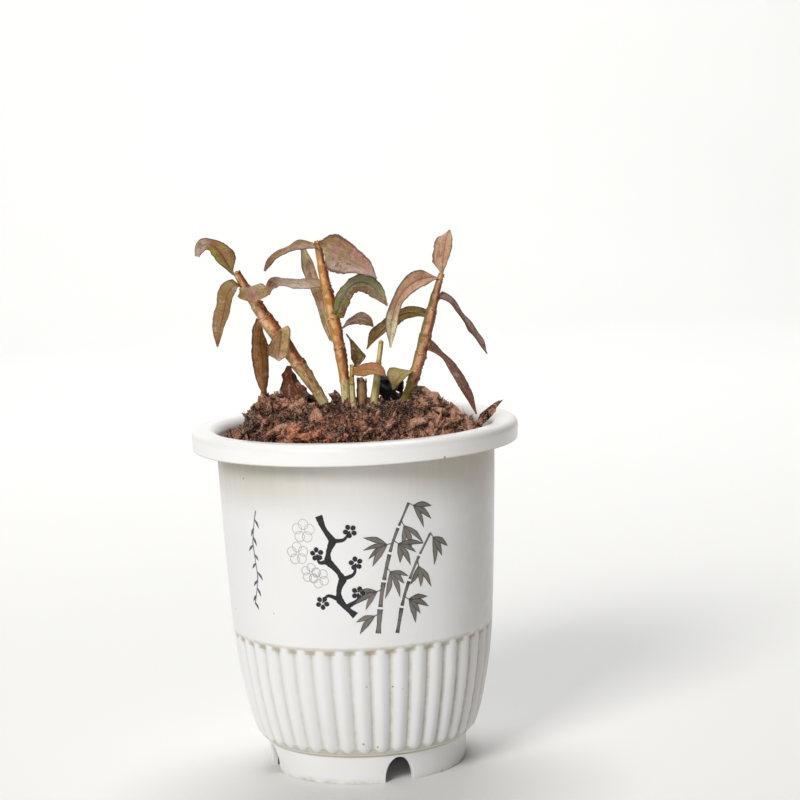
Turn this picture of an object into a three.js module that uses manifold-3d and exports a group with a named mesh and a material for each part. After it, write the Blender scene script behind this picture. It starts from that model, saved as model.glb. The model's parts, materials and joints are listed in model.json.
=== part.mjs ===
// A dendrobium orchid in a white ribbed plastic pot: three leaning canes with two-ranked leaves, two young
// shoots and a cut stump, standing in a heap of bark and coir.
// Millimetres, +Z up. The origin is the centre of the pot's foot, on the surface that it stands on.
// The front of the pot faces -Y.

import * as THREE from 'three';
import { mergeVertices } from 'three/addons/utils/BufferGeometryUtils.js';
import Module from 'manifold-3d';

const wasm = await Module();
wasm.setup();

// Driving dimensions of the pot
const POT_HEIGHT = 148;
const RIM_RADIUS = 70;
const RIM_BAND = 8.8;
const RIM_INNER_RADIUS = 62;
const WALL = 1.8;
const RIB_COUNT = 41;
const RIB_TURN = -4.1;
const RIB_TOP = 61;
const RIB_END = 17;
const GROOVE_DEPTH = 1.5;
const SCALLOP_HEIGHT = 2.4;
const RIB_END_LENGTH = 3.2;
const LEDGE_RADIUS = 43.9;
const LEDGE_TOP = 13.8;
const FOOT_RADIUS = 42.2;
const FOOT_THICKNESS = 2.2;
const FLOOR_UNDERSIDE = 10.8;
const FLOOR_TOP = 12.8;
const NOTCH_COUNT = 4;
const NOTCH_ANGLE = -72.5;
const NOTCH_HALF_WIDTH = 6.3;
const NOTCH_HEIGHT = 10.6;
const DRAIN_COUNT = 6;
const DRAIN_CIRCLE = 25;
const DRAIN_RADIUS = 3.2;

// Driving dimensions of the filling and the plant
const GAP = 0.35;
const SOIL_EDGE = POT_HEIGHT - 7;
const SOIL_RADIUS = 57.8;
const SOIL_RISE = 14;
const SLOPE_LEFT = 23;
const SLOPE_RIGHT = 28;
const FRONT_DROP = 1.6;
const BACK_DROP = 4;
const CHIP_COUNT = 40;
const CHIP_SINK = 1.4;
const LEAF_THICKNESS = 0.8;
const LEAF_FOLD = 15;
const BLADE_MARGIN = 0.3;
const STEM_DEPTH = 11;

const radians = THREE.MathUtils.degToRad;
const { lerp, clamp, smoothstep } = THREE.MathUtils;

// Helpers: seeded draws, and the way to and from a solid for joining and cutting
function seeded(seed) {
  let state = seed >>> 0;
  return (low = 0, high = 1) => {
    state = (state + 0x6d2b79f5) >>> 0;
    let t = state;
    t = Math.imul(t ^ (t >>> 15), t | 1);
    t ^= t + Math.imul(t ^ (t >>> 7), t | 61);
    return low + (((t ^ (t >>> 14)) >>> 0) / 4294967296) * (high - low);
  };
}

function solidOf(geometry) {
  const bare = geometry.clone();
  bare.deleteAttribute('normal');
  bare.deleteAttribute('uv');
  const merged = mergeVertices(bare, 1e-4);
  return new wasm.Manifold(new wasm.Mesh({
    numProp: 3,
    vertProperties: new Float32Array(merged.attributes.position.array),
    triVerts: new Uint32Array(merged.index.array),
  }));
}

function geometryOf(solid) {
  const mesh = solid.getMesh();
  const geometry = new THREE.BufferGeometry();
  geometry.setAttribute('position', new THREE.BufferAttribute(mesh.vertProperties, 3));
  geometry.setIndex(new THREE.BufferAttribute(mesh.triVerts, 1));
  geometry.computeVertexNormals();
  return geometry;
}

const dendrobium = new THREE.Group();
dendrobium.name = 'potted_dendrobium';

function addPart(name, geometry, color, roughness) {
  const material = new THREE.MeshStandardMaterial({ color, roughness, metalness: 0 });
  const mesh = new THREE.Mesh(geometry, material);
  mesh.name = name;
  dendrobium.add(mesh);
}

// A closed skin over a run of rings. Each ring turns the same way about the direction of the run,
// and a ring may have twice as many points as its neighbour. A ring of one point closes an end.
function skinOf(rings) {
  const points = rings.flat();
  const starts = [];
  let count = 0;
  for (const ring of rings) {
    starts.push(count);
    count += ring.length;
  }
  const faces = [];
  for (let k = 0; k + 1 < rings.length; k += 1) {
    const a = rings[k].length;
    const b = rings[k + 1].length;
    const low = (i) => starts[k] + (i % a);
    const high = (i) => starts[k + 1] + (i % b);
    if (a === 1) {
      for (let i = 0; i < b; i += 1) faces.push(low(0), high(i + 1), high(i));
    } else if (b === 1) {
      for (let i = 0; i < a; i += 1) faces.push(low(i), low(i + 1), high(0));
    } else if (a === b) {
      for (let i = 0; i < a; i += 1) {
        faces.push(low(i), low(i + 1), high(i + 1));
        faces.push(low(i), high(i + 1), high(i));
      }
    } else if (b === 2 * a) {
      for (let i = 0; i < a; i += 1) {
        faces.push(low(i), high(2 * i + 1), high(2 * i));
        faces.push(low(i), low(i + 1), high(2 * i + 1));
        faces.push(low(i + 1), high(2 * i + 2), high(2 * i + 1));
      }
    } else {
      for (let i = 0; i < b; i += 1) {
        faces.push(low(2 * i), low(2 * i + 1), high(i));
        faces.push(low(2 * i + 1), high(i + 1), high(i));
        faces.push(low(2 * i + 1), low(2 * i + 2), high(i + 1));
      }
    }
  }
  const geometry = new THREE.BufferGeometry().setFromPoints(points);
  geometry.setIndex(faces);
  geometry.computeVertexNormals();
  return geometry;
}

function ringAt(radius, z, count) {
  if (radius === 0) return [new THREE.Vector3(0, 0, z)];
  return Array.from({ length: count }, (_, i) => {
    const angle = (2 * Math.PI * i) / count;
    const r = typeof radius === 'function' ? radius(angle) : radius;
    return new THREE.Vector3(r * Math.cos(angle), r * Math.sin(angle), z);
  });
}

// The pot: one moulding with a flat rim that turns down into a skirt, a lightly tapered wall,
// a ribbed lower wall that draws in to a ledge, and a foot ring with four arched notches
const SMOOTH_SIDES = 2 * RIB_COUNT;
const RIBBED_SIDES = 4 * RIB_COUNT;

const bodyProfile = [
  [LEDGE_TOP, 46.8], [RIB_END, 48], [22, 49.6], [28, 51.1], [36, 52.8],
  [46, 54.5], [RIB_TOP - SCALLOP_HEIGHT, 55.9], [RIB_TOP, 56.1], [78, 57.1], [99, 58.1], [120, 59], [138, 59.6],
];

function alongProfile(profile, z) {
  const upper = profile.findIndex(([height]) => height >= z);
  if (upper < 0) return profile[profile.length - 1][1];
  if (upper === 0) return profile[0][1];
  const [z0, r0] = profile[upper - 1];
  const [z1, r1] = profile[upper];
  return lerp(r0, r1, (z - z0) / (z1 - z0));
}

// How deep the ribbed surface lies below the crests: round-backed ribs between soft grooves,
// a sloping cut where each groove begins, and a round lower end on each rib
function grooveDepth(angle, z) {
  if (z >= RIB_TOP) return 0;
  const turn = (angle * RIB_COUNT) / (2 * Math.PI);
  const across = 2 * Math.abs(turn - Math.round(turn));
  const hollow = across ** 2 / 2 + (1 - Math.cos(Math.PI * across)) / 4;
  const endwise = Math.max(0, (RIB_END - z) / RIB_END_LENGTH);
  const ribbed = Math.min(1, hollow + endwise ** 2);
  const cut = (RIB_TOP - z) / SCALLOP_HEIGHT;
  return GROOVE_DEPTH * Math.min(ribbed, cut);
}

function ribbedRing(z) {
  return ringAt((angle) => alongProfile(bodyProfile, z) - grooveDepth(angle, z), z, RIBBED_SIDES);
}

const innerProfile = [
  [FLOOR_TOP, 42.4], [FLOOR_TOP + 3, 43.8], [28, 48], [46, 51.4], [64, 53.6],
  [99, 56], [POT_HEIGHT - 10, 57.8], [POT_HEIGHT - 5, 58.4], [POT_HEIGHT - 1.4, 60],
];

const potRings = [
  ringAt(0, FLOOR_UNDERSIDE, 1),
  ringAt(FOOT_RADIUS - FOOT_THICKNESS, FLOOR_UNDERSIDE, SMOOTH_SIDES),
  ringAt(FOOT_RADIUS - FOOT_THICKNESS, 0, SMOOTH_SIDES),
  ringAt(FOOT_RADIUS, 0, SMOOTH_SIDES),
  ringAt(FOOT_RADIUS + 0.8, FLOOR_UNDERSIDE, SMOOTH_SIDES),
  ringAt(LEDGE_RADIUS - 0.8, LEDGE_TOP - 1.8, SMOOTH_SIDES),
  ringAt(LEDGE_RADIUS, LEDGE_TOP - 1.4, SMOOTH_SIDES),
];
for (const z of [LEDGE_TOP, 14.8, RIB_END, 22, 28, 36, 46, RIB_TOP - SCALLOP_HEIGHT, RIB_TOP]) {
  potRings.push(ribbedRing(z));
}
for (const [z, r] of bodyProfile.filter(([height]) => height > RIB_TOP)) {
  potRings.push(ringAt(r, z, SMOOTH_SIDES));
}
potRings.push(
  ringAt(59.9, POT_HEIGHT - 2.4, SMOOTH_SIDES),
  ringAt(RIM_RADIUS - WALL - 0.6, POT_HEIGHT - 2.6, SMOOTH_SIDES),
  ringAt(RIM_RADIUS - WALL - 0.5, POT_HEIGHT - RIM_BAND, SMOOTH_SIDES),
  ringAt(RIM_RADIUS - 0.4, POT_HEIGHT - RIM_BAND, SMOOTH_SIDES),
  ringAt(RIM_RADIUS, POT_HEIGHT - 2.6, SMOOTH_SIDES),
  ringAt(RIM_RADIUS - 0.8, POT_HEIGHT - 0.8, SMOOTH_SIDES),
  ringAt(RIM_RADIUS - 2.6, POT_HEIGHT, SMOOTH_SIDES),
  ringAt(RIM_INNER_RADIUS, POT_HEIGHT - 0.1, SMOOTH_SIDES),
);
for (const [z, r] of [...innerProfile].reverse()) {
  potRings.push(ringAt(r, z, SMOOTH_SIDES));
}
potRings.push(ringAt(0, FLOOR_TOP, 1));

let pot = solidOf(skinOf(potRings).rotateZ(radians(RIB_TURN)));

const archShape = new THREE.Shape();
archShape.moveTo(-NOTCH_HALF_WIDTH, -2);
archShape.lineTo(NOTCH_HALF_WIDTH, -2);
archShape.lineTo(NOTCH_HALF_WIDTH, 0);
archShape.absellipse(0, 0, NOTCH_HALF_WIDTH, NOTCH_HEIGHT, 0, Math.PI, false);
for (let i = 0; i < NOTCH_COUNT; i += 1) {
  const notch = new THREE.ExtrudeGeometry(archShape, { depth: 12, bevelEnabled: false, curveSegments: 12 });
  notch.rotateX(Math.PI / 2);
  notch.rotateZ(Math.PI / 2);
  notch.translate(FOOT_RADIUS - 8, 0, 0);
  notch.rotateZ(radians(NOTCH_ANGLE + (360 / NOTCH_COUNT) * i));
  pot = pot.subtract(solidOf(notch));
}

for (let i = 0; i <= DRAIN_COUNT; i += 1) {
  const angle = (2 * Math.PI * i) / DRAIN_COUNT;
  const distance = i < DRAIN_COUNT ? DRAIN_CIRCLE : 0;
  const drain = new THREE.CylinderGeometry(DRAIN_RADIUS, DRAIN_RADIUS, 8, 16);
  drain.rotateX(Math.PI / 2);
  drain.translate(distance * Math.cos(angle), distance * Math.sin(angle), FLOOR_TOP - 1);
  pot = pot.subtract(solidOf(drain));
}
addPart('pot', geometryOf(pot), 0xeeeeec, 0.42);

// The stems. Each follows a line that starts at the top of the filling and leans by an angle given
// at its foot, its middle and its top
const heapTop = (x, y) => {
  const inward = SOIL_RADIUS - Math.hypot(x, y);
  const heap = smoothstep(inward, 0, x < 0 ? SLOPE_LEFT : SLOPE_RIGHT) * SOIL_RISE;
  const front = FRONT_DROP * clamp(-y / 40, 0, 1);
  const back = BACK_DROP * smoothstep(y, -2, 14) * (1 - smoothstep(x, 10, 22));
  const lumps = 0.9 * Math.sin(0.21 * x + 0.6) * Math.cos(0.17 * y - 0.4) + 0.6 * Math.sin(0.37 * x - 0.31 * y);
  return SOIL_EDGE + heap + (lumps - front - back) * smoothstep(inward, 2, 12);
};

function lineOf({ foot, towards, tilt, length }) {
  const step = 1;
  const points = [];
  const [x, y] = foot;
  const at = new THREE.Vector3(x, y, heapTop(x, y));
  const heading = radians(towards);
  const direction = (distance) => {
    const u = clamp(distance / length, 0, 1);
    const lean = radians(tilt[0] * (1 - u) * (1 - 2 * u) + 4 * tilt[1] * u * (1 - u) + tilt[2] * u * (2 * u - 1));
    return new THREE.Vector3(
      Math.sin(lean) * Math.cos(heading), Math.sin(lean) * Math.sin(heading), Math.cos(lean),
    );
  };
  for (let distance = 0; distance <= length; distance += step) {
    points.push(at.clone());
    at.addScaledVector(direction(distance + step / 2), step);
  }
  const place = (distance) => {
    if (distance <= 0) return points[0].clone().addScaledVector(direction(0), distance);
    const index = Math.min(Math.floor(distance / step), points.length - 2);
    return points[index].clone().lerp(points[index + 1], distance / step - index);
  };
  return { place, direction };
}

const RIGHT = 0;
const LEFT = 180;
const stems = {
  cane_left: {
    foot: [-11, -12], towards: 184, tilt: [27, 33, 26], length: 70.5, girth: [1.9, 3.3, 1.3],
    nodes: [9, 24, 36, 48, 54, 62], color: 0xa97842,
  },
  cane_centre: {
    foot: [-3.4, -3], towards: LEFT, tilt: [-2, 10, 5], length: 72.5, girth: [1.9, 2.55, 1.2],
    nodes: [12, 26, 39, 51, 61], color: 0xb1743c,
  },
  cane_right: {
    foot: [21.4, 3], towards: RIGHT, tilt: [27, 16, 20], length: 58.5, girth: [2.1, 2.6, 1],
    nodes: [15, 23, 31, 42, 49, 55], color: 0xae7a43,
  },
  shoot_front: {
    foot: [0, -9], towards: RIGHT, tilt: [-5, 0, 6], length: 19, girth: [1.1, 1, 0.8],
    nodes: [11], color: 0xa9ad5c,
  },
  shoot_right: {
    foot: [8.5, -1.5], towards: RIGHT, tilt: [9, 9, 9], length: 28, girth: [1.9, 1.2, 0.8],
    nodes: [13, 18], color: 0xb4b765,
  },
  stump: {
    foot: [3.5, -4.5], towards: RIGHT, tilt: [1, 1, 1], length: 12, girth: [2.2, 2.1, 2],
    nodes: [7], color: 0x84684a,
  },
};

// A stem's radius: a smooth taper, with each internode a little wider at its top than at its foot
function girthAt({ girth, nodes, length }, distance) {
  const u = clamp(distance / length, 0, 1);
  const [foot, middle, top] = girth;
  const smooth = u < 0.5 ? lerp(foot, middle, 2 * u) : lerp(middle, top, (2 * u - 1) ** 1.4);
  const marks = [0, ...nodes, length];
  const upper = Math.max(1, marks.findIndex((mark) => mark > distance));
  const part = clamp((distance - marks[upper - 1]) / (marks[upper] - marks[upper - 1]), 0, 1);
  return smooth * (0.93 + 0.13 * part);
}

const STEM_SIDES = 12;

function ringAround(centre, axis, radius, count) {
  const across = new THREE.Vector3(1, 0, 0).addScaledVector(axis, -axis.x).normalize();
  const along = new THREE.Vector3().crossVectors(axis, across);
  return Array.from({ length: count }, (_, i) => {
    const angle = (2 * Math.PI * i) / count;
    return centre.clone()
      .addScaledVector(across, radius * Math.cos(angle))
      .addScaledVector(along, radius * Math.sin(angle));
  });
}

function stemGeometry(stem) {
  const marks = [-STEM_DEPTH, 0];
  for (const node of stem.nodes) marks.push(node - 0.4, node + 0.4);
  marks.push(stem.length - 0.6);
  const bare = (distance) => [stem.line.place(distance)];
  const rings = [bare(-STEM_DEPTH)];
  for (const distance of marks) {
    const radius = girthAt(stem, distance);
    rings.push(ringAround(stem.line.place(distance), stem.line.direction(distance), radius, STEM_SIDES));
  }
  rings.push(bare(stem.length));
  return skinOf(rings);
}

for (const [name, stem] of Object.entries(stems)) {
  stem.line = lineOf(stem);
  addPart(name, stemGeometry(stem), stem.color, 0.7);
}

// The filling: bark and coir packed down to the floor and heaped above the rim, with chips of bark
// standing out of it and a plain hole for each stem
const TOP_RINGS = [56.5, 53, 48, 41, 33, 22, 11];
const FILL_SIDES = 32;
const CLEAR_SIDES = 2 * FILL_SIDES;
const SEAT = 0.3;

const fillRings = [ringAt(0, FLOOR_TOP + SEAT, 1)];
for (const [z, r] of innerProfile.filter(([height]) => height < SOIL_EDGE)) {
  fillRings.push(ringAt(r - GAP, z + (z === FLOOR_TOP ? SEAT : 0), FILL_SIDES));
}
fillRings.push(ringAt(alongProfile(innerProfile, SOIL_EDGE) - GAP, SOIL_EDGE, FILL_SIDES));
for (const r of TOP_RINGS) {
  const ring = ringAt(r, 0, FILL_SIDES);
  for (const point of ring) point.z = heapTop(point.x, point.y);
  fillRings.push(ring);
}
fillRings.push([new THREE.Vector3(0, 0, heapTop(0, 0))]);
let filling = solidOf(skinOf(fillRings));

function chipSolid(draw, width) {
  const corners = 5;
  const outline = new THREE.Shape();
  for (let i = 0; i < corners; i += 1) {
    const angle = (2 * Math.PI * (i + draw(-0.3, 0.3))) / corners;
    const reach = width * draw(0.75, 1.1);
    const point = [reach * Math.cos(angle), 0.6 * reach * Math.sin(angle)];
    if (i === 0) outline.moveTo(...point);
    else outline.lineTo(...point);
  }
  outline.closePath();
  const depth = draw(2, 3.6);
  const chip = new THREE.ExtrudeGeometry(outline, { depth, bevelEnabled: false });
  chip.translate(0, 0, -depth / 2);
  return chip;
}

const draw = seeded(41);
for (let i = 0; i < CHIP_COUNT; i += 1) {
  const reach = 53 * Math.sqrt((i + 0.5) / CHIP_COUNT);
  const angle = i * radians(137.5);
  const width = draw(4, 8);
  const chip = chipSolid(draw, width);
  chip.rotateX(radians(draw(-55, 55)));
  chip.rotateY(radians(draw(-40, 40)));
  chip.rotateZ(draw(0, 2 * Math.PI));
  const x = reach * Math.cos(angle);
  const y = reach * Math.sin(angle);
  chip.translate(x, y, heapTop(x, y) - CHIP_SINK);
  filling = filling.add(solidOf(chip));
}

// One slender chip leans out of the heap towards the right of the rim
const slender = new THREE.Shape();
slender.moveTo(-9, -2.4);
slender.lineTo(-2, -2.8);
slender.lineTo(9, -0.8);
slender.lineTo(8, 0.9);
slender.lineTo(0, 2.6);
slender.lineTo(-9, 2);
slender.closePath();
const leaning = new THREE.ExtrudeGeometry(slender, { depth: 1.6, bevelEnabled: false });
leaning.translate(0, 0, -0.8);
leaning.rotateX(radians(60));
leaning.rotateY(radians(-40));
leaning.rotateZ(radians(8));
leaning.translate(52.5, 0, POT_HEIGHT - 1);
filling = filling.add(solidOf(leaning));

// Everything stays clear of the pot's inside, whose wall goes on straight up above the rim
const clearRings = [ringAt(0, FLOOR_TOP + SEAT, 1)];
for (const [z, r] of innerProfile.slice(0, -1)) {
  clearRings.push(ringAt(r - GAP, z + (z === FLOOR_TOP ? SEAT : 0), CLEAR_SIDES));
}
clearRings.push(ringAt(RIM_INNER_RADIUS - 1, POT_HEIGHT + 40, CLEAR_SIDES), ringAt(0, POT_HEIGHT + 40, 1));
filling = filling.intersect(solidOf(skinOf(clearRings)));

for (const stem of Object.values(stems)) {
  const hole = [];
  for (const distance of [-STEM_DEPTH - GAP, 0, 12]) {
    const centre = stem.line.place(distance);
    if (hole.length === 0) hole.push([centre]);
    hole.push(ringAround(centre, stem.line.direction(distance), stem.girth[0] * 1.08 + GAP, STEM_SIDES));
  }
  hole.push([stem.line.place(12)]);
  filling = filling.subtract(solidOf(skinOf(hole)));
}
const loose = filling.decompose();
filling = loose.reduce((most, body) => (body.volume() > most.volume() ? body : most));
addPart('substrate', geometryOf(filling), 0x4a3026, 0.95);

// A leaf is a thin channelled blade on a line that leaves its stem at a rise and droops over a part
// of its length. Angles are in degrees: a heading of 0 is to the right, 90 to the back. The midrib's
// distance to each margin is given at even steps from the leaf's foot to its tip.
const BLADE_ROWS = 12;
const BLADE_COLUMNS = [-1, 0, 1];

// A smooth run through evenly spaced values
function through(values, u) {
  const place = u * (values.length - 1);
  const first = Math.min(Math.floor(place), values.length - 2);
  const t = place - first;
  const [a, b, c, d] = [-1, 0, 1, 2].map((k) => values[clamp(first + k, 0, values.length - 1)]);
  return b + (t / 2) * (c - a + t * (2 * a - 5 * b + 4 * c - d + t * (3 * (b - c) + d - a)));
}

function bladeGeometry(leaf) {
  const { heading, rise, droop, bend = [0, 1], sweep = 0, length, roll = 0, twist = 0 } = leaf;
  const fold = radians(LEAF_FOLD);
  const stem = stems[leaf.on];
  const out = new THREE.Vector3(Math.cos(radians(heading)), Math.sin(radians(heading)), 0);
  const at = stem.line.place(leaf.from);
  at.addScaledVector(out, girthAt(stem, leaf.from) * 1.02 + GAP + LEAF_THICKNESS / 2 + (leaf.off ?? 0));
  const azimuthAt = (u) => radians(heading + sweep * u);
  const forwardAt = (u) => {
    const elevation = radians(rise - droop * smoothstep(u, bend[0], bend[1]));
    const level = Math.cos(elevation);
    return new THREE.Vector3(
      level * Math.cos(azimuthAt(u)), level * Math.sin(azimuthAt(u)), Math.sin(elevation),
    );
  };
  const upper = [];
  const lower = [];
  for (let k = 0; k <= BLADE_ROWS; k += 1) {
    const u = k / BLADE_ROWS;
    if (k > 0) at.addScaledVector(forwardAt(u - 0.5 / BLADE_ROWS), length / BLADE_ROWS);
    const forward = forwardAt(u);
    const level = new THREE.Vector3(Math.sin(azimuthAt(u)), -Math.cos(azimuthAt(u)), 0);
    const side = level.clone().applyAxisAngle(forward, -radians(roll + twist * u));
    const normal = new THREE.Vector3().crossVectors(side, forward);
    for (const t of BLADE_COLUMNS) {
      const reach = Math.max(BLADE_MARGIN, through(t > 0 ? leaf.right : leaf.left, u)) * Math.abs(t);
      const middle = at.clone()
        .addScaledVector(side, Math.sign(t) * reach * Math.cos(fold))
        .addScaledVector(normal, reach * Math.sin(fold));
      upper.push(middle.clone().addScaledVector(normal, LEAF_THICKNESS / 2));
      lower.push(middle.clone().addScaledVector(normal, -LEAF_THICKNESS / 2));
    }
  }
  const columns = BLADE_COLUMNS.length;
  const top = (k, j) => k * columns + j;
  const under = (k, j) => upper.length + k * columns + j;
  const faces = [];
  for (let k = 0; k < BLADE_ROWS; k += 1) {
    for (let j = 0; j + 1 < columns; j += 1) {
      faces.push(top(k, j), top(k, j + 1), top(k + 1, j + 1), top(k, j), top(k + 1, j + 1), top(k + 1, j));
      faces.push(under(k, j), under(k + 1, j + 1), under(k, j + 1));
      faces.push(under(k, j), under(k + 1, j), under(k + 1, j + 1));
    }
    const right = columns - 1;
    faces.push(top(k, 0), top(k + 1, 0), under(k + 1, 0), top(k, 0), under(k + 1, 0), under(k, 0));
    faces.push(top(k, right), under(k + 1, right), top(k + 1, right));
    faces.push(top(k, right), under(k, right), under(k + 1, right));
  }
  for (let j = 0; j + 1 < columns; j += 1) {
    faces.push(top(0, j), under(0, j), under(0, j + 1), top(0, j), under(0, j + 1), top(0, j + 1));
    const end = BLADE_ROWS;
    faces.push(top(end, j), under(end, j + 1), under(end, j), top(end, j), top(end, j + 1), under(end, j + 1));
  }
  const geometry = new THREE.BufferGeometry().setFromPoints([...upper, ...lower]);
  geometry.setIndex(faces);
  geometry.computeVertexNormals();
  return geometry;
}

const leaves = {
  // Left cane, from the top down
  left_top_leaf: {
    on: 'cane_left', from: 70, heading: 141, rise: 51, droop: 128, bend: [0.34, 1.1], length: 27,
    roll: 15, twist: 95, right: [0.4, 4.8, 4.5, 2.5, 3, 1], left: [1.8, 3.2, 3.4, 2.6, 2.7, 1],
    color: 0x7d7240,
  },
  left_hanging_leaf: {
    on: 'cane_left', from: 63.7, heading: -131, rise: -2, droop: 68, bend: [0.04, 0.36], length: 31,
    roll: 17, twist: -4, right: [4.8, 4.6, 4, 4.1, 3.3, 0.3], left: [0.3, 3.1, 3.3, 2.9, 1.4, 0.8],
    color: 0x7a6c3e,
  },
  left_short_leaf: {
    on: 'cane_left', from: 62.5, heading: -70, rise: 3, droop: 72, bend: [0.05, 0.9], length: 11,
    twist: -16, right: [2, 3.5, 5.1, 5.9, 5.9, 0.8], left: [1.4, 3.8, 5.9, 7, 6.9, 1.3], color: 0x84795c,
  },
  left_front_leaf: {
    on: 'cane_left', from: 40.8, heading: -63, rise: 14, droop: 124, bend: [0.13, 0.23], length: 17,
    roll: -10, twist: -16, right: [0.3, 1.1, 4.4, 5.6, 5, 0.4], left: [3.1, 3.8, 3.9, 4, 3.9, 0.7],
    color: 0x8e7c4c,
  },
  left_brown_leaf: {
    on: 'cane_left', from: 46, heading: 111, rise: -35, droop: 60, bend: [0.15, 0.3], length: 37,
    right: [0.3, 1.3, 4, 3.6, 2.8, 0.4], left: [3.4, 3, 3.9, 3.9, 2.7, 0.3], color: 0x5e4424,
  },
  left_dead_leaf: {
    on: 'cane_left', from: 22.4, heading: 156, rise: -80, droop: 67, bend: [0, 0.8], length: 18,
    sweep: -61, roll: -7, right: [0.3, 2.8, 4.5, 5.2, 5.2, 2.4], left: [2.4, 3.9, 4.8, 5.7, 4.5, 1],
    off: 0.3, color: 0x45291a,
  },
  // Centre cane
  centre_broad_leaf: {
    on: 'cane_centre', from: 70, heading: -49, rise: -12, droop: 21, bend: [-0.1, 1.16], length: 35,
    sweep: 6, roll: -107, twist: 81, right: [0.3, 7.9, 8.4, 7.1, 3.5, 0.3],
    left: [2.6, 7.3, 7.1, 5.2, 3.8, 0.5], color: 0x86725a,
  },
  centre_left_leaf: {
    on: 'cane_centre', from: 71.2, heading: 192, rise: -2, droop: 82, bend: [-0.05, 1.55], length: 25,
    roll: 40, right: [0.3, 2.6, 1.5, 1.6, 2.2, 0.6], left: [4.5, 3.7, 2.8, 2.1, 1.3, 0.3],
    color: 0x857058,
  },
  centre_pale_leaf: {
    on: 'cane_centre', from: 52.6, heading: -162, rise: 10, droop: 95, bend: [0.67, 0.95], length: 26.5,
    roll: 33, twist: 48, right: [4.2, 3.2, 2.4, 1.8, 2.2, 0.3], left: [0.3, 2.7, 3.1, 1.9, 2.9, 0.4],
    color: 0xa5948c,
  },
  centre_upright_leaf: {
    on: 'cane_centre', from: 29, heading: 140, rise: 69, droop: -4, length: 42, roll: 31, twist: -6,
    right: [0.3, 1, 1.8, 2.7, 2.3, 0.9], left: [1.1, 2.1, 1.7, 2.7, 3.6, 1.6], off: 0.5, color: 0x85866c,
  },
  centre_arching_leaf: {
    on: 'cane_centre', from: 41, heading: -55, rise: 54, droop: 111, bend: [0.24, 0.9], length: 36.7,
    sweep: 43, roll: -134, twist: 71, right: [3.7, 3.6, 3.5, 4.1, 3.7, 0.5],
    left: [1.9, 3.4, 2.7, 3.8, 3.1, 0.3], off: 0.4, color: 0x7d8062,
  },
  centre_small_leaf: {
    on: 'cane_centre', from: 34.6, heading: -12, rise: 33, droop: 106, bend: [0.16, 1.2], length: 15.5,
    roll: -53, twist: -8, right: [0.8, 1.3, 2.8, 3.2, 2.5, 0.3], left: [0.3, 1.6, 2, 3, 1.7, 0.3],
    color: 0x63453c,
  },
  // Leaves of the young shoots
  shoot_green_leaf: {
    on: 'shoot_front', from: 18.8, heading: -8, rise: 94, droop: -26, length: 14, roll: -104,
    right: [1.5, 4.1, 2.8, 1.6, 0.7, 0.3], left: [1.3, 2.2, 1.9, 1, 0.3, 0.3], off: 0.4, color: 0x4d5530,
  },
  shoot_pink_leaf: {
    on: 'shoot_front', from: 15.7, heading: -48, rise: 15, droop: 38, bend: [0, 1.1], length: 20,
    roll: -60, twist: 13, right: [1.6, 3.1, 3.7, 2.8, 1.4, 0.5], left: [1.8, 2.6, 2.9, 3.6, 2.9, 0.3],
    off: 0.1, color: 0x9c7355,
  },
  // Right cane
  right_top_leaf: {
    on: 'cane_right', from: 58.5, heading: 73, rise: 74, droop: 44, bend: [0.05, 0.9], length: 23,
    roll: 3, twist: -13, right: [0.3, 2.3, 3.3, 3.2, 2.1, 0.5], left: [1.3, 4.5, 4.7, 4.7, 2.3, 0.3],
    color: 0x8c7060,
  },
  right_arching_leaf: {
    on: 'cane_right', from: 56.5, heading: -142, rise: 9, droop: 96, bend: [-0.1, 1], length: 46,
    sweep: 9, roll: 58, twist: 10, right: [0.3, 4.2, 3.4, 2.8, 3.2, 0.3],
    left: [1, 3.6, 3.4, 2.3, 2.6, 0.3], color: 0x93806a,
  },
  right_narrow_leaf: {
    on: 'cane_right', from: 39, heading: 141, rise: 24, droop: 65, bend: [-0.1, 0.6], length: 38,
    roll: 68, twist: 35, right: [3.3, 3, 2.2, 3.4, 3.9, 0.3], left: [0.3, 2.6, 3.6, 1.9, 0.6, 0.3],
    color: 0x6c6236,
  },
  right_upper_leaf: {
    on: 'cane_right', from: 47.4, heading: 0, rise: -15, droop: 43, bend: [-0.05, 0.3], length: 32,
    roll: -20, twist: -23, right: [3.8, 2.8, 2.5, 2.4, 1.2, 0.3], left: [4.1, 2.4, 2.1, 2.8, 2.4, 0.3],
    color: 0x634234,
  },
  right_lower_leaf: {
    on: 'cane_right', from: 24.5, heading: -37, rise: -11, droop: 51, bend: [0, 0.55], length: 37.7,
    roll: -71, twist: 11, right: [0.3, 1.1, 2.3, 2, 1.1, 0.4], left: [4.8, 1.4, 1.6, 2.4, 2.3, 0.3],
    color: 0x604235,
  },
  right_folded_leaf: {
    on: 'cane_right', from: 15, heading: -136, rise: -4, droop: 54, bend: [0.07, 0.95], length: 14,
    roll: 7, right: [0.9, 4.1, 7, 5.7, 2.7, 0.3], left: [1.1, 3.5, 5, 4.3, 2.8, 0.6], color: 0x77753f,
  },
};
for (const [name, leaf] of Object.entries(leaves)) {
  addPart(name, bladeGeometry(leaf), leaf.color, 0.6);
}

export default dendrobium;
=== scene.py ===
import json
import math
import random

import bpy
import numpy as np
from mathutils import Euler, Matrix, Vector, noise

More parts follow.
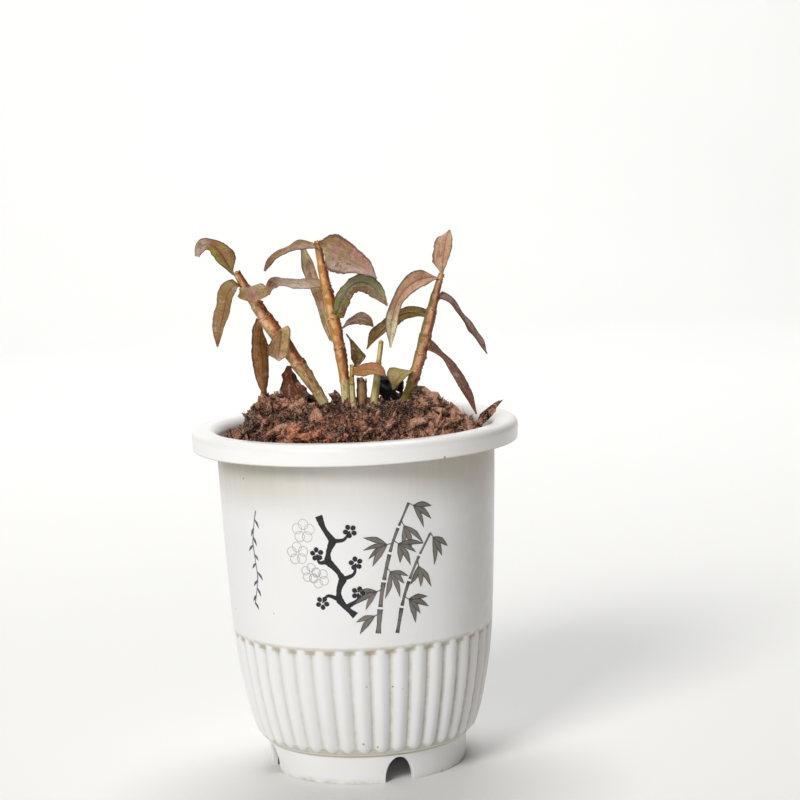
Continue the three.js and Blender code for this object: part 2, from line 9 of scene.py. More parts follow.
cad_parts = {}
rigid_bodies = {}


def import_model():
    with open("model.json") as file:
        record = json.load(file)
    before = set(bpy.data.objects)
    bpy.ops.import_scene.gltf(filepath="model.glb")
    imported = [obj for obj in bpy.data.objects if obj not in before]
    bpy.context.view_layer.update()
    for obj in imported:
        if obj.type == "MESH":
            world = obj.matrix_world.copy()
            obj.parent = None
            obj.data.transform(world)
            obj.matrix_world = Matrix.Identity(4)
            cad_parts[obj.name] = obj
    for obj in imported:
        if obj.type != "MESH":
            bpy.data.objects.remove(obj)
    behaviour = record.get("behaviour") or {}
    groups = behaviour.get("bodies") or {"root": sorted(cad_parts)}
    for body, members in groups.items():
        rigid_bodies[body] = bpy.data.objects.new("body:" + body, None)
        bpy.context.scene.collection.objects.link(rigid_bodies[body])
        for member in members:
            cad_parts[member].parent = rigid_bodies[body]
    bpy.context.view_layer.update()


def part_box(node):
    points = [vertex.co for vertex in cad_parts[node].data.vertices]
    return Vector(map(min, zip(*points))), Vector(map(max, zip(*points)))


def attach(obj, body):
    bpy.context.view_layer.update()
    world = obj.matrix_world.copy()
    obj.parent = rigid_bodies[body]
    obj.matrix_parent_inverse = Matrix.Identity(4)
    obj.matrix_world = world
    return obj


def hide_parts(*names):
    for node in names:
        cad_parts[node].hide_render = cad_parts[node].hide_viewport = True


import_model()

# Camera, floor and light
# The camera stands a metre in front of the pot, a little above its rim, and leans by a few degrees.
# The floor is a pale sheet that sweeps up behind the pot, under one broad soft light from the left.
MM = 0.001
SENSOR_WIDTH = 36.0
LENS = 107.41
EYE = Vector((0, -1.015, 0.2866))
LOOK_RIGHT = math.radians(1.12)
LOOK_DOWN = math.radians(7.312)
LEAN = math.radians(-2.3)

ahead = Vector((
    math.sin(LOOK_RIGHT) * math.cos(LOOK_DOWN),
    math.cos(LOOK_RIGHT) * math.cos(LOOK_DOWN),
    -math.sin(LOOK_DOWN),
))
level = Vector((math.cos(LOOK_RIGHT), -math.sin(LOOK_RIGHT), 0))
upright = level.cross(ahead)
rightward = level * math.cos(LEAN) + upright * math.sin(LEAN)
upward = upright * math.cos(LEAN) - level * math.sin(LEAN)


def linked(name, data):
    """A new object in the scene"""
    thing = bpy.data.objects.new(name, data)
    bpy.context.scene.collection.objects.link(thing)
    return thing


camera = linked("camera", bpy.data.cameras.new("camera"))
camera.data.sensor_width = SENSOR_WIDTH
camera.data.lens = LENS
camera.matrix_world = Matrix.Translation(EYE) @ Matrix((rightward, upward, -ahead)).transposed().to_4x4()
bpy.context.scene.camera = camera
bpy.context.scene.view_settings.view_transform = "Standard"


def linear(colour):
    """An sRGB colour, as six hexadecimal digits, as the linear colour that a shader takes"""
    parts = [int(colour[i:i + 2], 16) / 255 for i in (0, 2, 4)]
    return (*(p / 12.92 if p <= 0.04045 else ((p + 0.055) / 1.055) ** 2.4 for p in parts), 1.0)


class Wire:
    """A value worked out by nodes. Arithmetic on it adds Math nodes to its board."""

    def __init__(self, board, socket):
        self.board = board
        self.socket = socket

    def maths(self, operation, *values):
        return self.board.node("ShaderNodeMath", {"operation": operation}, *values)

    def __add__(self, other):
        return self.maths("ADD", self, other)

    def __sub__(self, other):
        return self.maths("SUBTRACT", self, other)

    def __mul__(self, other):
        return self.maths("MULTIPLY", self, other)

    def size(self):
        """The value without its sign"""
        return self.maths("ABSOLUTE", self)

    def wave(self):
        return self.maths("SINE", self)

    def rise(self, low, high):
        """0 at low and 1 at high, smooth between, also where low is the larger"""
        smooth = {"interpolation_type": "SMOOTHSTEP"}
        return self.board.node("ShaderNodeMapRange", smooth, self, low, high, 0.0, 1.0)

    def band(self, start, full, fade, end):
        """0 up to start, 1 from full to fade, and 0 again from end on"""
        return self.rise(start, full) * self.rise(end, fade)


class Board:
    """A node tree. node() adds one node, with its settings first and then its sockets' values or links."""

    def __init__(self, tree):
        self.tree = tree

    @staticmethod
    def pick(sockets, key):
        if isinstance(key, int):
            return sockets[key]
        named = [s for s in sockets if s.name == key and s.enabled]
        return named[0] if named else next(s for s in sockets if s.identifier == key)

    def node(self, kind, settings=None, *values, out=0, **sockets):
        made = self.tree.nodes.new(kind)
        for key, value in (settings or {}).items():
            if key == "stops":
                self.set_stops(made.color_ramp, value)
            else:
                setattr(made, key, value)
        for key, value in [*enumerate(values), *sockets.items()]:
            socket = self.pick(made.inputs, key.replace("_", " ") if isinstance(key, str) else key)
            if isinstance(value, Wire):
                self.tree.links.new(value.socket, socket)
            elif value is not None:
                socket.default_value = value
        return Wire(self, self.pick(made.outputs, out))

    @staticmethod
    def set_stops(ramp, stops):
        while len(ramp.elements) < len(stops):
            ramp.elements.new(0.5)
        for element, (position, colour) in zip(ramp.elements, stops):
            element.position = position
            element.color = linear(colour)


class Finish(Board):
    """A material: one shader whose colour, roughness and relief are worked out from the surface's place."""

    def __init__(self, name, **constants):
        self.material = bpy.data.materials.new(name)
        self.material.use_nodes = True
        super().__init__(self.material.node_tree)
        self.tree.nodes.clear()
        self.shader = self.tree.nodes.new("ShaderNodeBsdfPrincipled")
        output = self.tree.nodes.new("ShaderNodeOutputMaterial")
        self.tree.links.new(self.shader.outputs[0], output.inputs[0])
        for key, value in constants.items():
            self.shader.inputs[key.replace("_", " ")].default_value = value

    def place(self):
        return self.node("ShaderNodeTexCoord", out="Object")

    def drawn(self, name):
        """The three numbers that mark() keeps for each point"""
        return self.node("ShaderNodeAttribute", {"attribute_name": name}, out="Vector")

    def parts(self, vector):
        split = self.node("ShaderNodeSeparateXYZ", None, vector)
        return [Wire(self, socket) for socket in split.socket.node.outputs]

    def stretched(self, vector, x, y, z):
        return self.node("ShaderNodeMapping", None, vector, Scale=(x, y, z))

    def grain(self, vector, size, detail=2.0, roughness=0.5):
        """Cloudy noise from 0 to 1 with patches of that size, in millimetres"""
        return self.node("ShaderNodeTexNoise", None, vector, Scale=1 / (size * MM), Detail=detail,
                         Roughness=roughness, out="Fac")

    def mix(self, share, first, second):
        """From the first colour to the second, each worked out by nodes or given as six digits"""
        first, second = (linear(colour) if isinstance(colour, str) else colour for colour in (first, second))
        return self.node("ShaderNodeMix", {"data_type": "RGBA"}, Factor=share, A=first, B=second,
                         out="Result")

    def layered(self, colour, *layers):
        """The colour with others laid over it in turn, each given as its share and its colour"""
        for share, over in layers:
            colour = self.mix(share, colour, over)
        return colour

    def ramp(self, factor, *stops):
        return self.node("ShaderNodeValToRGB", {"stops": stops}, factor, out="Color")

    def paint(self, colour, roughness=None, height=None, depth=1.0):
        """Joins the colour, the roughness, and a relief whose height of 1 is depth millimetres"""
        self.tree.links.new(colour.socket, self.shader.inputs["Base Color"])
        if roughness is not None:
            self.tree.links.new(roughness.socket, self.shader.inputs["Roughness"])
        if height is not None:
            bump = self.node("ShaderNodeBump", None, Strength=1.0, Distance=depth * MM, Height=height,
                             out="Normal")
            self.tree.links.new(bump.socket, self.shader.inputs["Normal"])
        return self.material


def mesh_of(name, rows, start=None, end=None, looped=False):
    """A closed skin, in metres, over rows of points in millimetres. Each row runs round anticlockwise as
    seen from the row after it. The ends close on a point each, or the last row joins the first."""
    rows = np.asarray(rows, float)
    count, around = rows.shape[:2]
    points = rows.reshape(-1, 3)
    row, column = np.meshgrid(np.arange(count if looped else count - 1), np.arange(around), indexing="ij")
    after, beside = (row + 1) % count, (column + 1) % around
    faces = np.stack([row * around + column, row * around + beside, after * around + beside,
                      after * around + column], -1).reshape(-1, 4).tolist()
    if not looped:
        first, last = len(points), len(points) + 1
        top = (count - 1) * around
        points = np.vstack([points, start if start is not None else rows[0].mean(0),
                            end if end is not None else rows[-1].mean(0)])
        faces += [(first, (i + 1) % around, i) for i in range(around)]
        faces += [(last, top + i, top + (i + 1) % around) for i in range(around)]
    mesh = bpy.data.meshes.new(name)
    mesh.from_pydata((points * MM).tolist(), [], faces)
    return mesh


def points_of(mesh):
    flat = np.zeros(len(mesh.vertices) * 3, np.float32)
    mesh.vertices.foreach_get("co", flat)
    return flat.reshape(-1, 3) / MM


def mark(mesh, name, values):
    """Keeps three numbers for each point, for the material. The end points take the first and last ones"""
    values = np.asarray(values, float).reshape(-1, 3)
    spare = len(mesh.vertices) - len(values)
    values = np.vstack([values, np.repeat(values[[0, -1]], spare // 2, 0)]) if spare else values
    mesh.attributes.new(name, "FLOAT_VECTOR", "POINT").data.foreach_set("vector", values.ravel())


def joined(name, meshes):
    """One mesh of several, with the attributes that they share"""
    parts = [linked(name, mesh) for mesh in meshes]
    with bpy.context.temp_override(active_object=parts[0], selected_editable_objects=parts):
        bpy.ops.object.join()
    whole = parts[0].data
    bpy.data.objects.remove(parts[0])
    return whole


def evaluated(thing):
    """The object's mesh with its modifiers applied"""
    return bpy.data.meshes.new_from_object(thing.evaluated_get(bpy.context.evaluated_depsgraph_get()))


def placed(name, mesh, material, smooth_below=60):
    """An object of one material, smooth but for the edges where it turns by more than that many degrees"""
    piece = linked(name, mesh)
    mesh.materials.clear()
    mesh.materials.append(material)
    mesh.shade_smooth()
    mesh.set_sharp_from_angle(angle=math.radians(smooth_below))
    return piece


def add_piece(name, mesh, material, slot, *nodes, smooth_below=60):
    """A finished piece of the object, in place of CAD nodes"""
    piece = placed(name, mesh, material, smooth_below)
    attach(piece, "root")
    if nodes:
        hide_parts(*nodes)


def softstep(value, low, high):
    """0 at low and 1 at high, smooth between"""
    share = np.clip((value - low) / (high - low), 0, 1)
    return share * share * (3 - 2 * share)


def full_turn(count):
    """Angles at even steps round a circle"""
    return np.arange(count) * 2 * math.pi / count


FLOOR_FRONT = 3.0
FLOOR_BACK = 1.9
FLOOR_HALF_WIDTH = 4.0
SWEEP_RADIUS = 1.2
SWEEP_STEPS = 24
WALL_TOP = 3.4
sweep = [(-FLOOR_FRONT, 0), (FLOOR_BACK, 0)]
for step in range(1, SWEEP_STEPS + 1):
    turn = math.pi / 2 * step / SWEEP_STEPS
    sweep.append((FLOOR_BACK + SWEEP_RADIUS * math.sin(turn), SWEEP_RADIUS * (1 - math.cos(turn))))
sweep.append((FLOOR_BACK + SWEEP_RADIUS, WALL_TOP))
floor_mesh = bpy.data.meshes.new("floor")
floor_points = [(x, y, z) for y, z in sweep for x in (-FLOOR_HALF_WIDTH, FLOOR_HALF_WIDTH)]
floor_faces = [(2 * k, 2 * k + 1, 2 * k + 3, 2 * k + 2) for k in range(len(sweep) - 1)]
floor_mesh.from_pydata(floor_points, [], floor_faces)
paper = Finish("pale paper", Roughness=0.9)
paper_tone = paper.grain(paper.place(), 400)
paper_stuff = paper.paint(paper.mix(paper_tone, "f0f0ef", "f4f4f3"))
placed("floor", floor_mesh, paper_stuff)


def soft_light(name, place, target, size, power, colour):
    """A square area light that faces its target"""
    lamp = bpy.data.lights.new(name, "AREA")
    lamp.shape = "SQUARE"
    lamp.size = size
    lamp.energy = power
    lamp.color = linear(colour)[:3]
    light = linked(name, lamp)
    light.location = place
    light.rotation_euler = (Vector(target) - Vector(place)).to_track_quat("-Z", "Y").to_euler()


PLANT_MIDDLE = (0, 0, 0.12)
BACKDROP = (0, 2.7, 0.2)
soft_light("key light", (-1.6, -2.65, 2.0), PLANT_MIDDLE, 1.2, 80, "fffdf8")
soft_light("low front light", (-0.5, -3.0, 0.7), PLANT_MIDDLE, 1.4, 9, "ffffff")
soft_light("backdrop light", (0, 0.9, 2.6), BACKDROP, 1.4, 60, "ffffff")
sky = bpy.data.worlds.new("soft room")
sky.use_nodes = True
sky.node_tree.nodes["Background"].inputs["Color"].default_value = linear("fbfaf7")
sky.node_tree.nodes["Background"].inputs["Strength"].default_value = 0.12
bpy.context.scene.world = sky


# Pot
# One injection moulding in glossy white plastic: a flat rim turned down into a skirt, a smooth tapered wall
# that carries the print, a ribbed lower wall, and a foot ring with four arched notches and drain holes.
_, pot_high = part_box("pot")
POT_HEIGHT = pot_high.z / MM
RIM_RADIUS = pot_high.x / MM
RIM_BAND = 8.8
RIM_INNER_RADIUS = 62
WALL_END = 144.7
RIB_COUNT = 41
RIB_TURN = math.radians(-4.1)
RIB_TOP = 61
RIB_END = 17
RIB_END_LENGTH = 3.2
GROOVE_DEPTH = 1.5
SCALLOP_HEIGHT = 2.4
LEDGE_RADIUS = 43.9
LEDGE_TOP = 13.8
FOOT_RADIUS = 42.2
FOOT_THICKNESS = 2.2
FOOT_BEVEL = 0.35
FLOOR_UNDERSIDE = 10.8
FLOOR_TOP = 12.8
NOTCH_COUNT = 4
NOTCH_ANGLE = math.radians(-72.5)
NOTCH_HALF_WIDTH = 6.3
NOTCH_HEIGHT = 10.6
DRAIN_COUNT = 6
DRAIN_CIRCLE = 25
DRAIN_RADIUS = 3.2
COLUMNS_PER_RIB = 12
POT_COLUMNS = RIB_COUNT * COLUMNS_PER_RIB
WARP = 0.14

# The wall's two sides, as pairs of a height and a radius
OUTER_WALL = [(13.8, 46.8), (17, 48), (22, 49.6), (28, 51.1), (36, 52.8), (46, 54.5), (58.6, 55.9),
              (61, 56.1), (78, 57.1), (99, 58.1), (120, 59), (138, 59.6), (146, 59.9)]
INNER_WALL = [(12.8, 42.4), (15.8, 43.8), (28, 48), (46, 51.4), (64, 53.6), (99, 56), (138, 57.8),
              (143, 58.4), (146.6, 60)]


def along(profile, height):
    """The radius of one side of the wall at a height"""
    heights, radii = zip(*profile)
    return np.interp(height, heights, radii)


def groove_depth(angle, height):
    """Round-backed ribs between soft grooves, with a sloping cut at a groove's top and a round lower end"""
    turn = (angle - RIB_TURN) * RIB_COUNT / (2 * math.pi)
    across = 2 * np.abs(turn - np.round(turn))
    hollow = across ** 2 / 2 + (1 - np.cos(math.pi * across)) / 4
    endwise = np.clip((RIB_END - height) / RIB_END_LENGTH, 0, None)
    ribbed = np.minimum(1, hollow + endwise ** 2)
    cut = np.clip((RIB_TOP - height) / SCALLOP_HEIGHT, 0, None)
    return GROOVE_DEPTH * np.minimum(ribbed, cut)


def outer_radius(angle, height):
    """The wall's outside, with its grooves, and a little out of round where nothing stiffens it"""
    warp = np.sin(3 * angle + 0.9) * 0.6 + np.sin(5 * angle - height / 34) * 0.4
    loose = softstep(height, LEDGE_TOP, 50) * (1 - softstep(height, 130, 139))
    return along(OUTER_WALL, height) - groove_depth(angle, height) + WARP * warp * loose


def ring(radius, height, angles):
    """Points round the pot's axis"""
    radius = np.broadcast_to(radius, angles.shape)
    height = np.broadcast_to(height, angles.shape)
    return np.stack([radius * np.cos(angles), radius * np.sin(angles), height], -1)


def rounded(corners, steps=5):
    """A run of (radius, height, fillet) corners with an arc in place of each filleted corner"""
    path = []
    for k, (radius, height, fillet) in enumerate(corners):
        here = np.array([radius, height], float)
        if fillet == 0:
            path.append(here)
            continue
        back = np.array(corners[k - 1][:2], float) - here
        on = np.array(corners[k + 1][:2], float) - here
        back_reach = min(fillet, np.linalg.norm(back) / 2.02)
        on_reach = min(fillet, np.linalg.norm(on) / 2.02)
        first = here + back / np.linalg.norm(back) * back_reach
        last = here + on / np.linalg.norm(on) * on_reach
        for t in np.linspace(0, 1, steps):
            path.append(first * (1 - t) ** 2 + here * 2 * t * (1 - t) + last * t ** 2)
    return path


angles = RIB_TURN + full_turn(POT_COLUMNS)


def rings(corners):
    """Rings round the pot through a run of filleted corners"""
    return [ring(radius, height, angles) for radius, height in rounded(corners)]


# The underside of the floor, from near its middle out to the ledge
moulding = rings([
    (8, FLOOR_UNDERSIDE, 0), (36, FLOOR_UNDERSIDE, 0), (43, FLOOR_UNDERSIDE, 0.3),
    (LEDGE_RADIUS - 0.8, LEDGE_TOP - 1.8, 0.3), (LEDGE_RADIUS, LEDGE_TOP - 1.4, 0.4),
    (LEDGE_RADIUS + 1.1, LEDGE_TOP - 0.3, 0),
])

# The wall's outside, with more rings where the grooves end
rib_ends = np.linspace(LEDGE_TOP, RIB_END + 0.5, 12)
rib_flanks = np.linspace(RIB_END + 2, RIB_TOP - SCALLOP_HEIGHT - 0.6, 14)
scallops = np.linspace(RIB_TOP - SCALLOP_HEIGHT, RIB_TOP, 10)
smooth_wall = np.linspace(RIB_TOP + 1.5, WALL_END - 0.1, 22)
for height in [*rib_ends, *rib_flanks, *scallops, *smooth_wall]:
    moulding.append(ring(outer_radius(angles, height), height, angles))

# The rim: out under it, down and up its skirt, and over its flat top into the pot
moulding += rings([
    (along(OUTER_WALL, WALL_END), WALL_END, 0), (59.9, POT_HEIGHT - 2.4, 0.7),
    (RIM_RADIUS - 2.4, POT_HEIGHT - 2.6, 0.9), (RIM_RADIUS - 2.3, POT_HEIGHT - RIM_BAND, 0.5),
    (RIM_RADIUS - 0.4, POT_HEIGHT - RIM_BAND, 0.5), (RIM_RADIUS, POT_HEIGHT - 2.6, 1),
    (RIM_RADIUS - 0.8, POT_HEIGHT - 0.8, 1), (RIM_RADIUS - 2.6, POT_HEIGHT, 0.6),
    (RIM_INNER_RADIUS, POT_HEIGHT - 0.1, 0.9), (60, POT_HEIGHT - 1.4, 0.8), (58.6, POT_HEIGHT - 3.6, 0),
])

# Down the wall's inside and over the floor
for height in [143.6, 142, 138, 128, 118, 108, 99, 88, 76, 64, 55, 46, 37, 28, 21, 15.8]:
    moulding.append(ring(along(INNER_WALL, height), height, angles))
for radius, height in [(43.4, 13.9), (42.2, 13), (40.5, FLOOR_TOP), (9, FLOOR_TOP)]:
    moulding.append(ring(radius, height, angles))
pot_body = mesh_of("pot body", moulding, (0, 0, FLOOR_UNDERSIDE), (0, 0, FLOOR_TOP))

# The foot ring's lower edge rises over each notch, where the columns crowd towards the notch's sides
notch_half = NOTCH_HALF_WIDTH / FOOT_RADIUS
across_notch = np.sin(np.linspace(-math.pi / 2, math.pi / 2, 37))
foot_angles, foot_edge = [], []
for i in range(NOTCH_COUNT):
    middle = NOTCH_ANGLE + 2 * math.pi * i / NOTCH_COUNT
    foot_angles += (middle + notch_half * across_notch).tolist()
    foot_edge += (NOTCH_HEIGHT * np.sqrt(np.clip(1 - across_notch ** 2, 0, None))).tolist()
    between = np.linspace(middle + notch_half, middle + 2 * math.pi / NOTCH_COUNT - notch_half, 52)[1:-1]
    foot_angles += between.tolist()
    foot_edge += [0.0] * len(between)
foot_angles, foot_edge = np.array(foot_angles), np.array(foot_edge)
foot_top = FLOOR_UNDERSIDE + 0.6
inner_foot = FOOT_RADIUS - FOOT_THICKNESS
foot_section = [(FOOT_RADIUS - FOOT_BEVEL, 0), (FOOT_RADIUS - 0.1, 0.1), (FOOT_RADIUS, FOOT_BEVEL)]
foot_rows = [ring(r, foot_edge + z, foot_angles) for r, z in foot_section]
for share in np.linspace(0.15, 1, 8):
    height = foot_edge + FOOT_BEVEL + (foot_top - foot_edge - FOOT_BEVEL) * share
    foot_rows.append(ring(FOOT_RADIUS + 0.8 * height / FLOOR_UNDERSIDE, height, foot_angles))
foot_rows += [ring(inner_foot, foot_top, foot_angles), ring(inner_foot, foot_edge + 0.3, foot_angles),
              ring(inner_foot + 0.3, foot_edge, foot_angles)]
foot = mesh_of("foot", foot_rows, looped=True)


def cut_or_join(mesh, others, operation):
    """The mesh with the other closed meshes joined to it or cut from it"""
    whole = linked("whole", mesh)
    tools = [linked("tool", other) for other in others]
    for tool in tools:
        step = whole.modifiers.new("step", "BOOLEAN")
        step.operation = operation
        step.solver = "MANIFOLD"
        step.object = tool
    result = evaluated(whole)
    for used in [whole, *tools]:
        bpy.data.objects.remove(used)
    return result


# A drain hole in the middle and the others round it, each cut by a post that passes through the floor
drain_turn = full_turn(28)
drain_middles = [ring(DRAIN_CIRCLE, 0, turn) for turn in full_turn(DRAIN_COUNT)] + [np.zeros(3)]
drain_ends = (FLOOR_UNDERSIDE - 3, FLOOR_TOP + 3)
drains = []
for middle in drain_middles:
    post = [ring(DRAIN_RADIUS, height, drain_turn) + middle for height in drain_ends]
    drains.append(mesh_of("drain", post))
pot_body = cut_or_join(pot_body, drains, "DIFFERENCE")
pot_body = cut_or_join(pot_body, [foot], "UNION")

# For the material: how deep a point lies in a groove, given apart for the groove's length, for the scalloped
# edge at its top and for the ribs' ends
at = points_of(pot_body)
up = at[:, 2]
outside = np.hypot(at[:, 0], at[:, 1]) > along(INNER_WALL, up) + 0.8
depth = groove_depth(np.arctan2(at[:, 1], at[:, 0]), up) / GROOVE_DEPTH * outside
lengths = [
    (LEDGE_TOP, RIB_END, RIB_TOP - 3, RIB_TOP),
    (RIB_TOP - 3.6, RIB_TOP - 2.2, RIB_TOP - 0.4, RIB_TOP + 0.2),
    (LEDGE_TOP - 1.5, LEDGE_TOP, RIB_END - 1.2, RIB_END),
]
parts_of_groove = [
    depth * softstep(up, start, full) * (1 - softstep(up, fade, end)) for start, full, fade, end in lengths
]
mark(pot_body, "grooves", np.stack(parts_of_groove, -1))

# White plastic with old dirt under the rim, in the grooves and at their ends, in the seam above them, on the
# ledge and round the foot. Under the rim the staining is partly a painted shadow of the rim. In the grooves,
# at their scalloped tops, in the seam and at the ribs' ends the dirt is partly painted shade, and the
# grooves also carry a plain grey painted shade. The rim's band has a painted highlight, and painted shade
# darkens the rim and the wall at the right. Places are in metres here.
plastic = Finish("white moulded plastic", IOR=1.5, Coat_Weight=0.25, Coat_Roughness=0.12)
where = plastic.place()
x, _, z = plastic.parts(where)
groove, scallop, rib_end = plastic.parts(plastic.drawn("grooves"))
cloud = plastic.grain(where, 22, 3)
mottle = plastic.grain(where, 5, 4, 0.62)
streaks = plastic.grain(plastic.stretched(where, 1, 1, 0.12), 2.6, 3, 0.6)
patchy = mottle.rise(0.2, 0.7)
# The rim's band. The lighter white laid over it below is a painted highlight
on_rim = z.rise(0.1388, 0.1396)
under_rim = z.band(0.11, 0.14, 0.1392, 0.14)
# The staining under the rim is partly dirt and partly a painted shadow cast by the rim
stain_and_rim_shadow = under_rim * (streaks * 0.25 + cloud * 0.3 + 0.45) * (x.size().rise(0.0, 0.045) * 0.35 + 0.65)
rim_shade = on_rim * x.rise(0.02, 0.062) * (mottle * 0.4 + 0.2)
# Dirt in the grooves, with painted shade that deepens towards the right
groove_dirt_and_shade = groove.rise(0.55, 1.0) * (mottle.rise(0.25, 0.75) * 0.5 + 0.25)
groove_dirt_and_shade = groove_dirt_and_shade * (x.rise(-0.03, 0.035) * 0.6 + 0.4)
# Dirt and painted shade at the grooves' sloping tops
scallop_dirt_and_shade = scallop.rise(0.05, 0.6) * (patchy * 0.4 + 0.6)
# Dirt and painted shade along the seam at the top of the grooves
seam_dirt_and_shade = z.band(0.0598, 0.0606, 0.0611, 0.062) * (patchy * 0.35 + 0.1)
# Dirt and painted shade on the band that slopes in below the ribs' ends
end_dirt_and_shade = rib_end.rise(0.45, 1.0) * (patchy * 0.5 + 0.4)
ledge_line = z.band(0.0114, 0.0121, 0.0124, 0.0132) * (streaks * 0.6 + 0.5)
foot_grime = z.rise(0.003, 0.0) * (mottle.rise(0.4, 0.75) * 0.7 + 0.1)
dots = plastic.node("ShaderNodeTexVoronoi", {"feature": "F1"}, where, Scale=1 / (9 * MM), out="Distance")
flecks = dots.rise(0.055, 0.03) * plastic.grain(where, 30).rise(0.56, 0.62)
# The plain grey laid in the grooves is painted shade
white = plastic.layered(
    plastic.mix(cloud, "e9eaed", "f0f0f0"), (on_rim, "f7f7f7"), (stain_and_rim_shadow * 0.95, "a3977c"),
    (rim_shade * 0.45, "cbb9a4"), (groove * 0.25, "c4c4c4"), (groove_dirt_and_shade, "a99f8c"),
    (scallop_dirt_and_shade * 0.9, "a59a7f"), (seam_dirt_and_shade, "a59a7f"), (end_dirt_and_shade * 0.8, "b3a68b"),
    (ledge_line, "b0a468"), (foot_grime * 0.8, "b9a687"), (flecks * 0.7, "8b7a63"),
)

# Specks of dirt that stand out: each one's angle from the front to the right, height and size
SPECKS = [(-52.5, 131, 0.7), (12.1, 43.8, 0.7), (-2.4, 19, 0.8), (4.7, 17.2, 0.8), (-40.4, 75, 0.5),
          (31, 139.8, 1.1), (-8.7, 10, 0.7)]
for turn, height, size in SPECKS:
    angle = math.radians(turn - 90)
    radius = RIM_RADIUS if height > POT_HEIGHT - RIM_BAND else float(outer_radius(np.array(angle), height))
    spot = (radius * math.cos(angle) * MM, radius * math.sin(angle) * MM, height * MM)
    reach = plastic.node("ShaderNodeVectorMath", {"operation": "DISTANCE"}, where, spot, out="Value")
    near = (reach + mottle * (size * 0.5 * MM)).rise(size * 1.1 * MM, size * 0.55 * MM)
    white = plastic.mix(near * 0.75, white, "6d5a44")
shaded_side = x.rise(0.03, 0.056) * z.rise(0.14, 0.1385) * (mottle * 0.5 + 0.5)
white = plastic.mix(shaded_side * 0.6, white, "b3a696")
dullness = stain_and_rim_shadow * 0.25 + mottle * 0.12 + groove * 0.15 + 0.26
plastic_stuff = plastic.paint(white, dullness, cloud * 0.6 + mottle * 0.08, 0.25)
add_piece("pot_moulding", pot_body, plastic_stuff, "pot", "pot", smooth_below=38)


# Print on the pot
# Thin ink, printed on the smooth wall before the pot was filled: a bamboo in washed grey, a bold black bough
# among pale outlined blossoms, and a slender spray at the left. Every stroke hugs the wall.
INK_LIFT = 0.045
INK_LAYER = 0.003
INK_ROOT = 0.2
THINNEST_INK = 0.03
CULM_ROWS = 12
TWIG_LENGTH = 2.4
PETAL_LENGTH = 2.9
STROKE_ROWS = 15
STROKE_COLUMNS = np.linspace(-1, 1, 6)


def curve(a, b, c, d, t):
    """The value at a share t of the way from b to c, on a smooth run through all four"""
    return b + 0.5 * t * (c - a + t * (2 * a - 5 * b + 4 * c - d + t * (3 * (b - c) + d - a)))


def through(points, count):
    """Points of a smooth path through a few given ones"""
    points = np.asarray(points, float)
    if len(points) == 2:
        return points[0] + (points[1] - points[0]) * np.linspace(0, 1, count)[:, None]
    padded = np.vstack([2 * points[0] - points[1], points, 2 * points[-1] - points[-2]])
    path = []
    for t in np.linspace(0, len(points) - 1, count):
        k = min(int(t), len(points) - 2)
        path.append(curve(*padded[k:k + 4], t - k))
    return np.array(path)


def away_from(point, heading, distance):
    """The place at a distance from a point, at a heading counted in degrees from the right"""
    turn = math.radians(heading)
    return point[0] + distance * math.cos(turn), point[1] + distance * math.sin(turn)


class Motif:
    """Brush strokes on the pot's wall, in arc length to the right of the front and height, in millimetres"""

    def __init__(self, seed):
        self.strokes = []
        self.draw = random.Random(seed)

    def stroke(self, points, widths, rough=0.06):
        """A stroke through a few points, of the given widths at even steps"""
        path = through(points, STROKE_ROWS)
        heading = np.gradient(path, axis=0)
        heading /= np.linalg.norm(heading, axis=1)[:, None]
        side = np.stack([heading[:, 1], -heading[:, 0]], -1)
        shares = np.linspace(0, 1, STROKE_ROWS)
        half = np.interp(shares, np.linspace(0, 1, len(widths)), widths) / 2
        half *= [1 + self.draw.uniform(-rough, rough) for _ in shares]
        half = np.maximum(half, THINNEST_INK)
        lift = INK_LIFT + INK_LAYER * len(self.strokes)
        which = len(self.strokes) % 7 / 7
        rows, marks = [], []
        for k, share in enumerate(shares):
            flat = path[k] + side[k] * half[k] * STROKE_COLUMNS[:, None]
            angle = flat[:, 0] / outer_radius(0.0, flat[:, 1]) - math.pi / 2
            radius = outer_radius(angle, flat[:, 1])
            face = ring(radius + lift, flat[:, 1], angle)
            back = ring(radius - INK_ROOT, flat[:, 1], angle)
            rows.append(np.vstack([face, back[::-1]]))
            marks.append([(column, share, which) for column in [*STROKE_COLUMNS, *STROKE_COLUMNS[::-1]]])
        mesh = mesh_of("stroke", rows)
        mark(mesh, "stroke", marks)
        self.strokes.append(mesh)

    def leaf(self, root, heading, length, width, droop):
        """A pointed leaf whose tip sinks by droop degrees"""
        middle = away_from(root, heading, length * 0.5)
        tip = away_from(middle, heading - droop, length * 0.5)
        self.stroke([root, middle, tip], [0.3, width * 0.75, width, width * 0.62, 0.08], 0.03)

    def petals(self):
        """The headings of a blossom's five petals"""
        twist = self.draw.uniform(0, 72)
        return [twist + 72 * petal for petal in range(5)]

    def piece(self, name, material):
        add_piece(name, joined(name, self.strokes), material, "pot")


def ink(name, pale, dark, strength):
    """Ink that is darker along a stroke's edges and ends, with dry streaks along the stroke"""
    wash = Finish(name)
    across, on, which = wash.parts(wash.drawn("stroke"))
    streak = wash.grain(wash.stretched(wash.place(), 1, 1, 0.35), 1.1, 3, 0.6)
    pool = across.size().rise(0.35, 1.0) * 0.45 + (on * 2 - 1).size().rise(0.5, 1.0) * 0.35
    tone = pool + streak * 0.5 + which * 0.35 - 0.15
    return wash.paint(wash.mix((tone * strength).rise(0.0, 1.0), pale, dark), tone * 0.2 + 0.35)


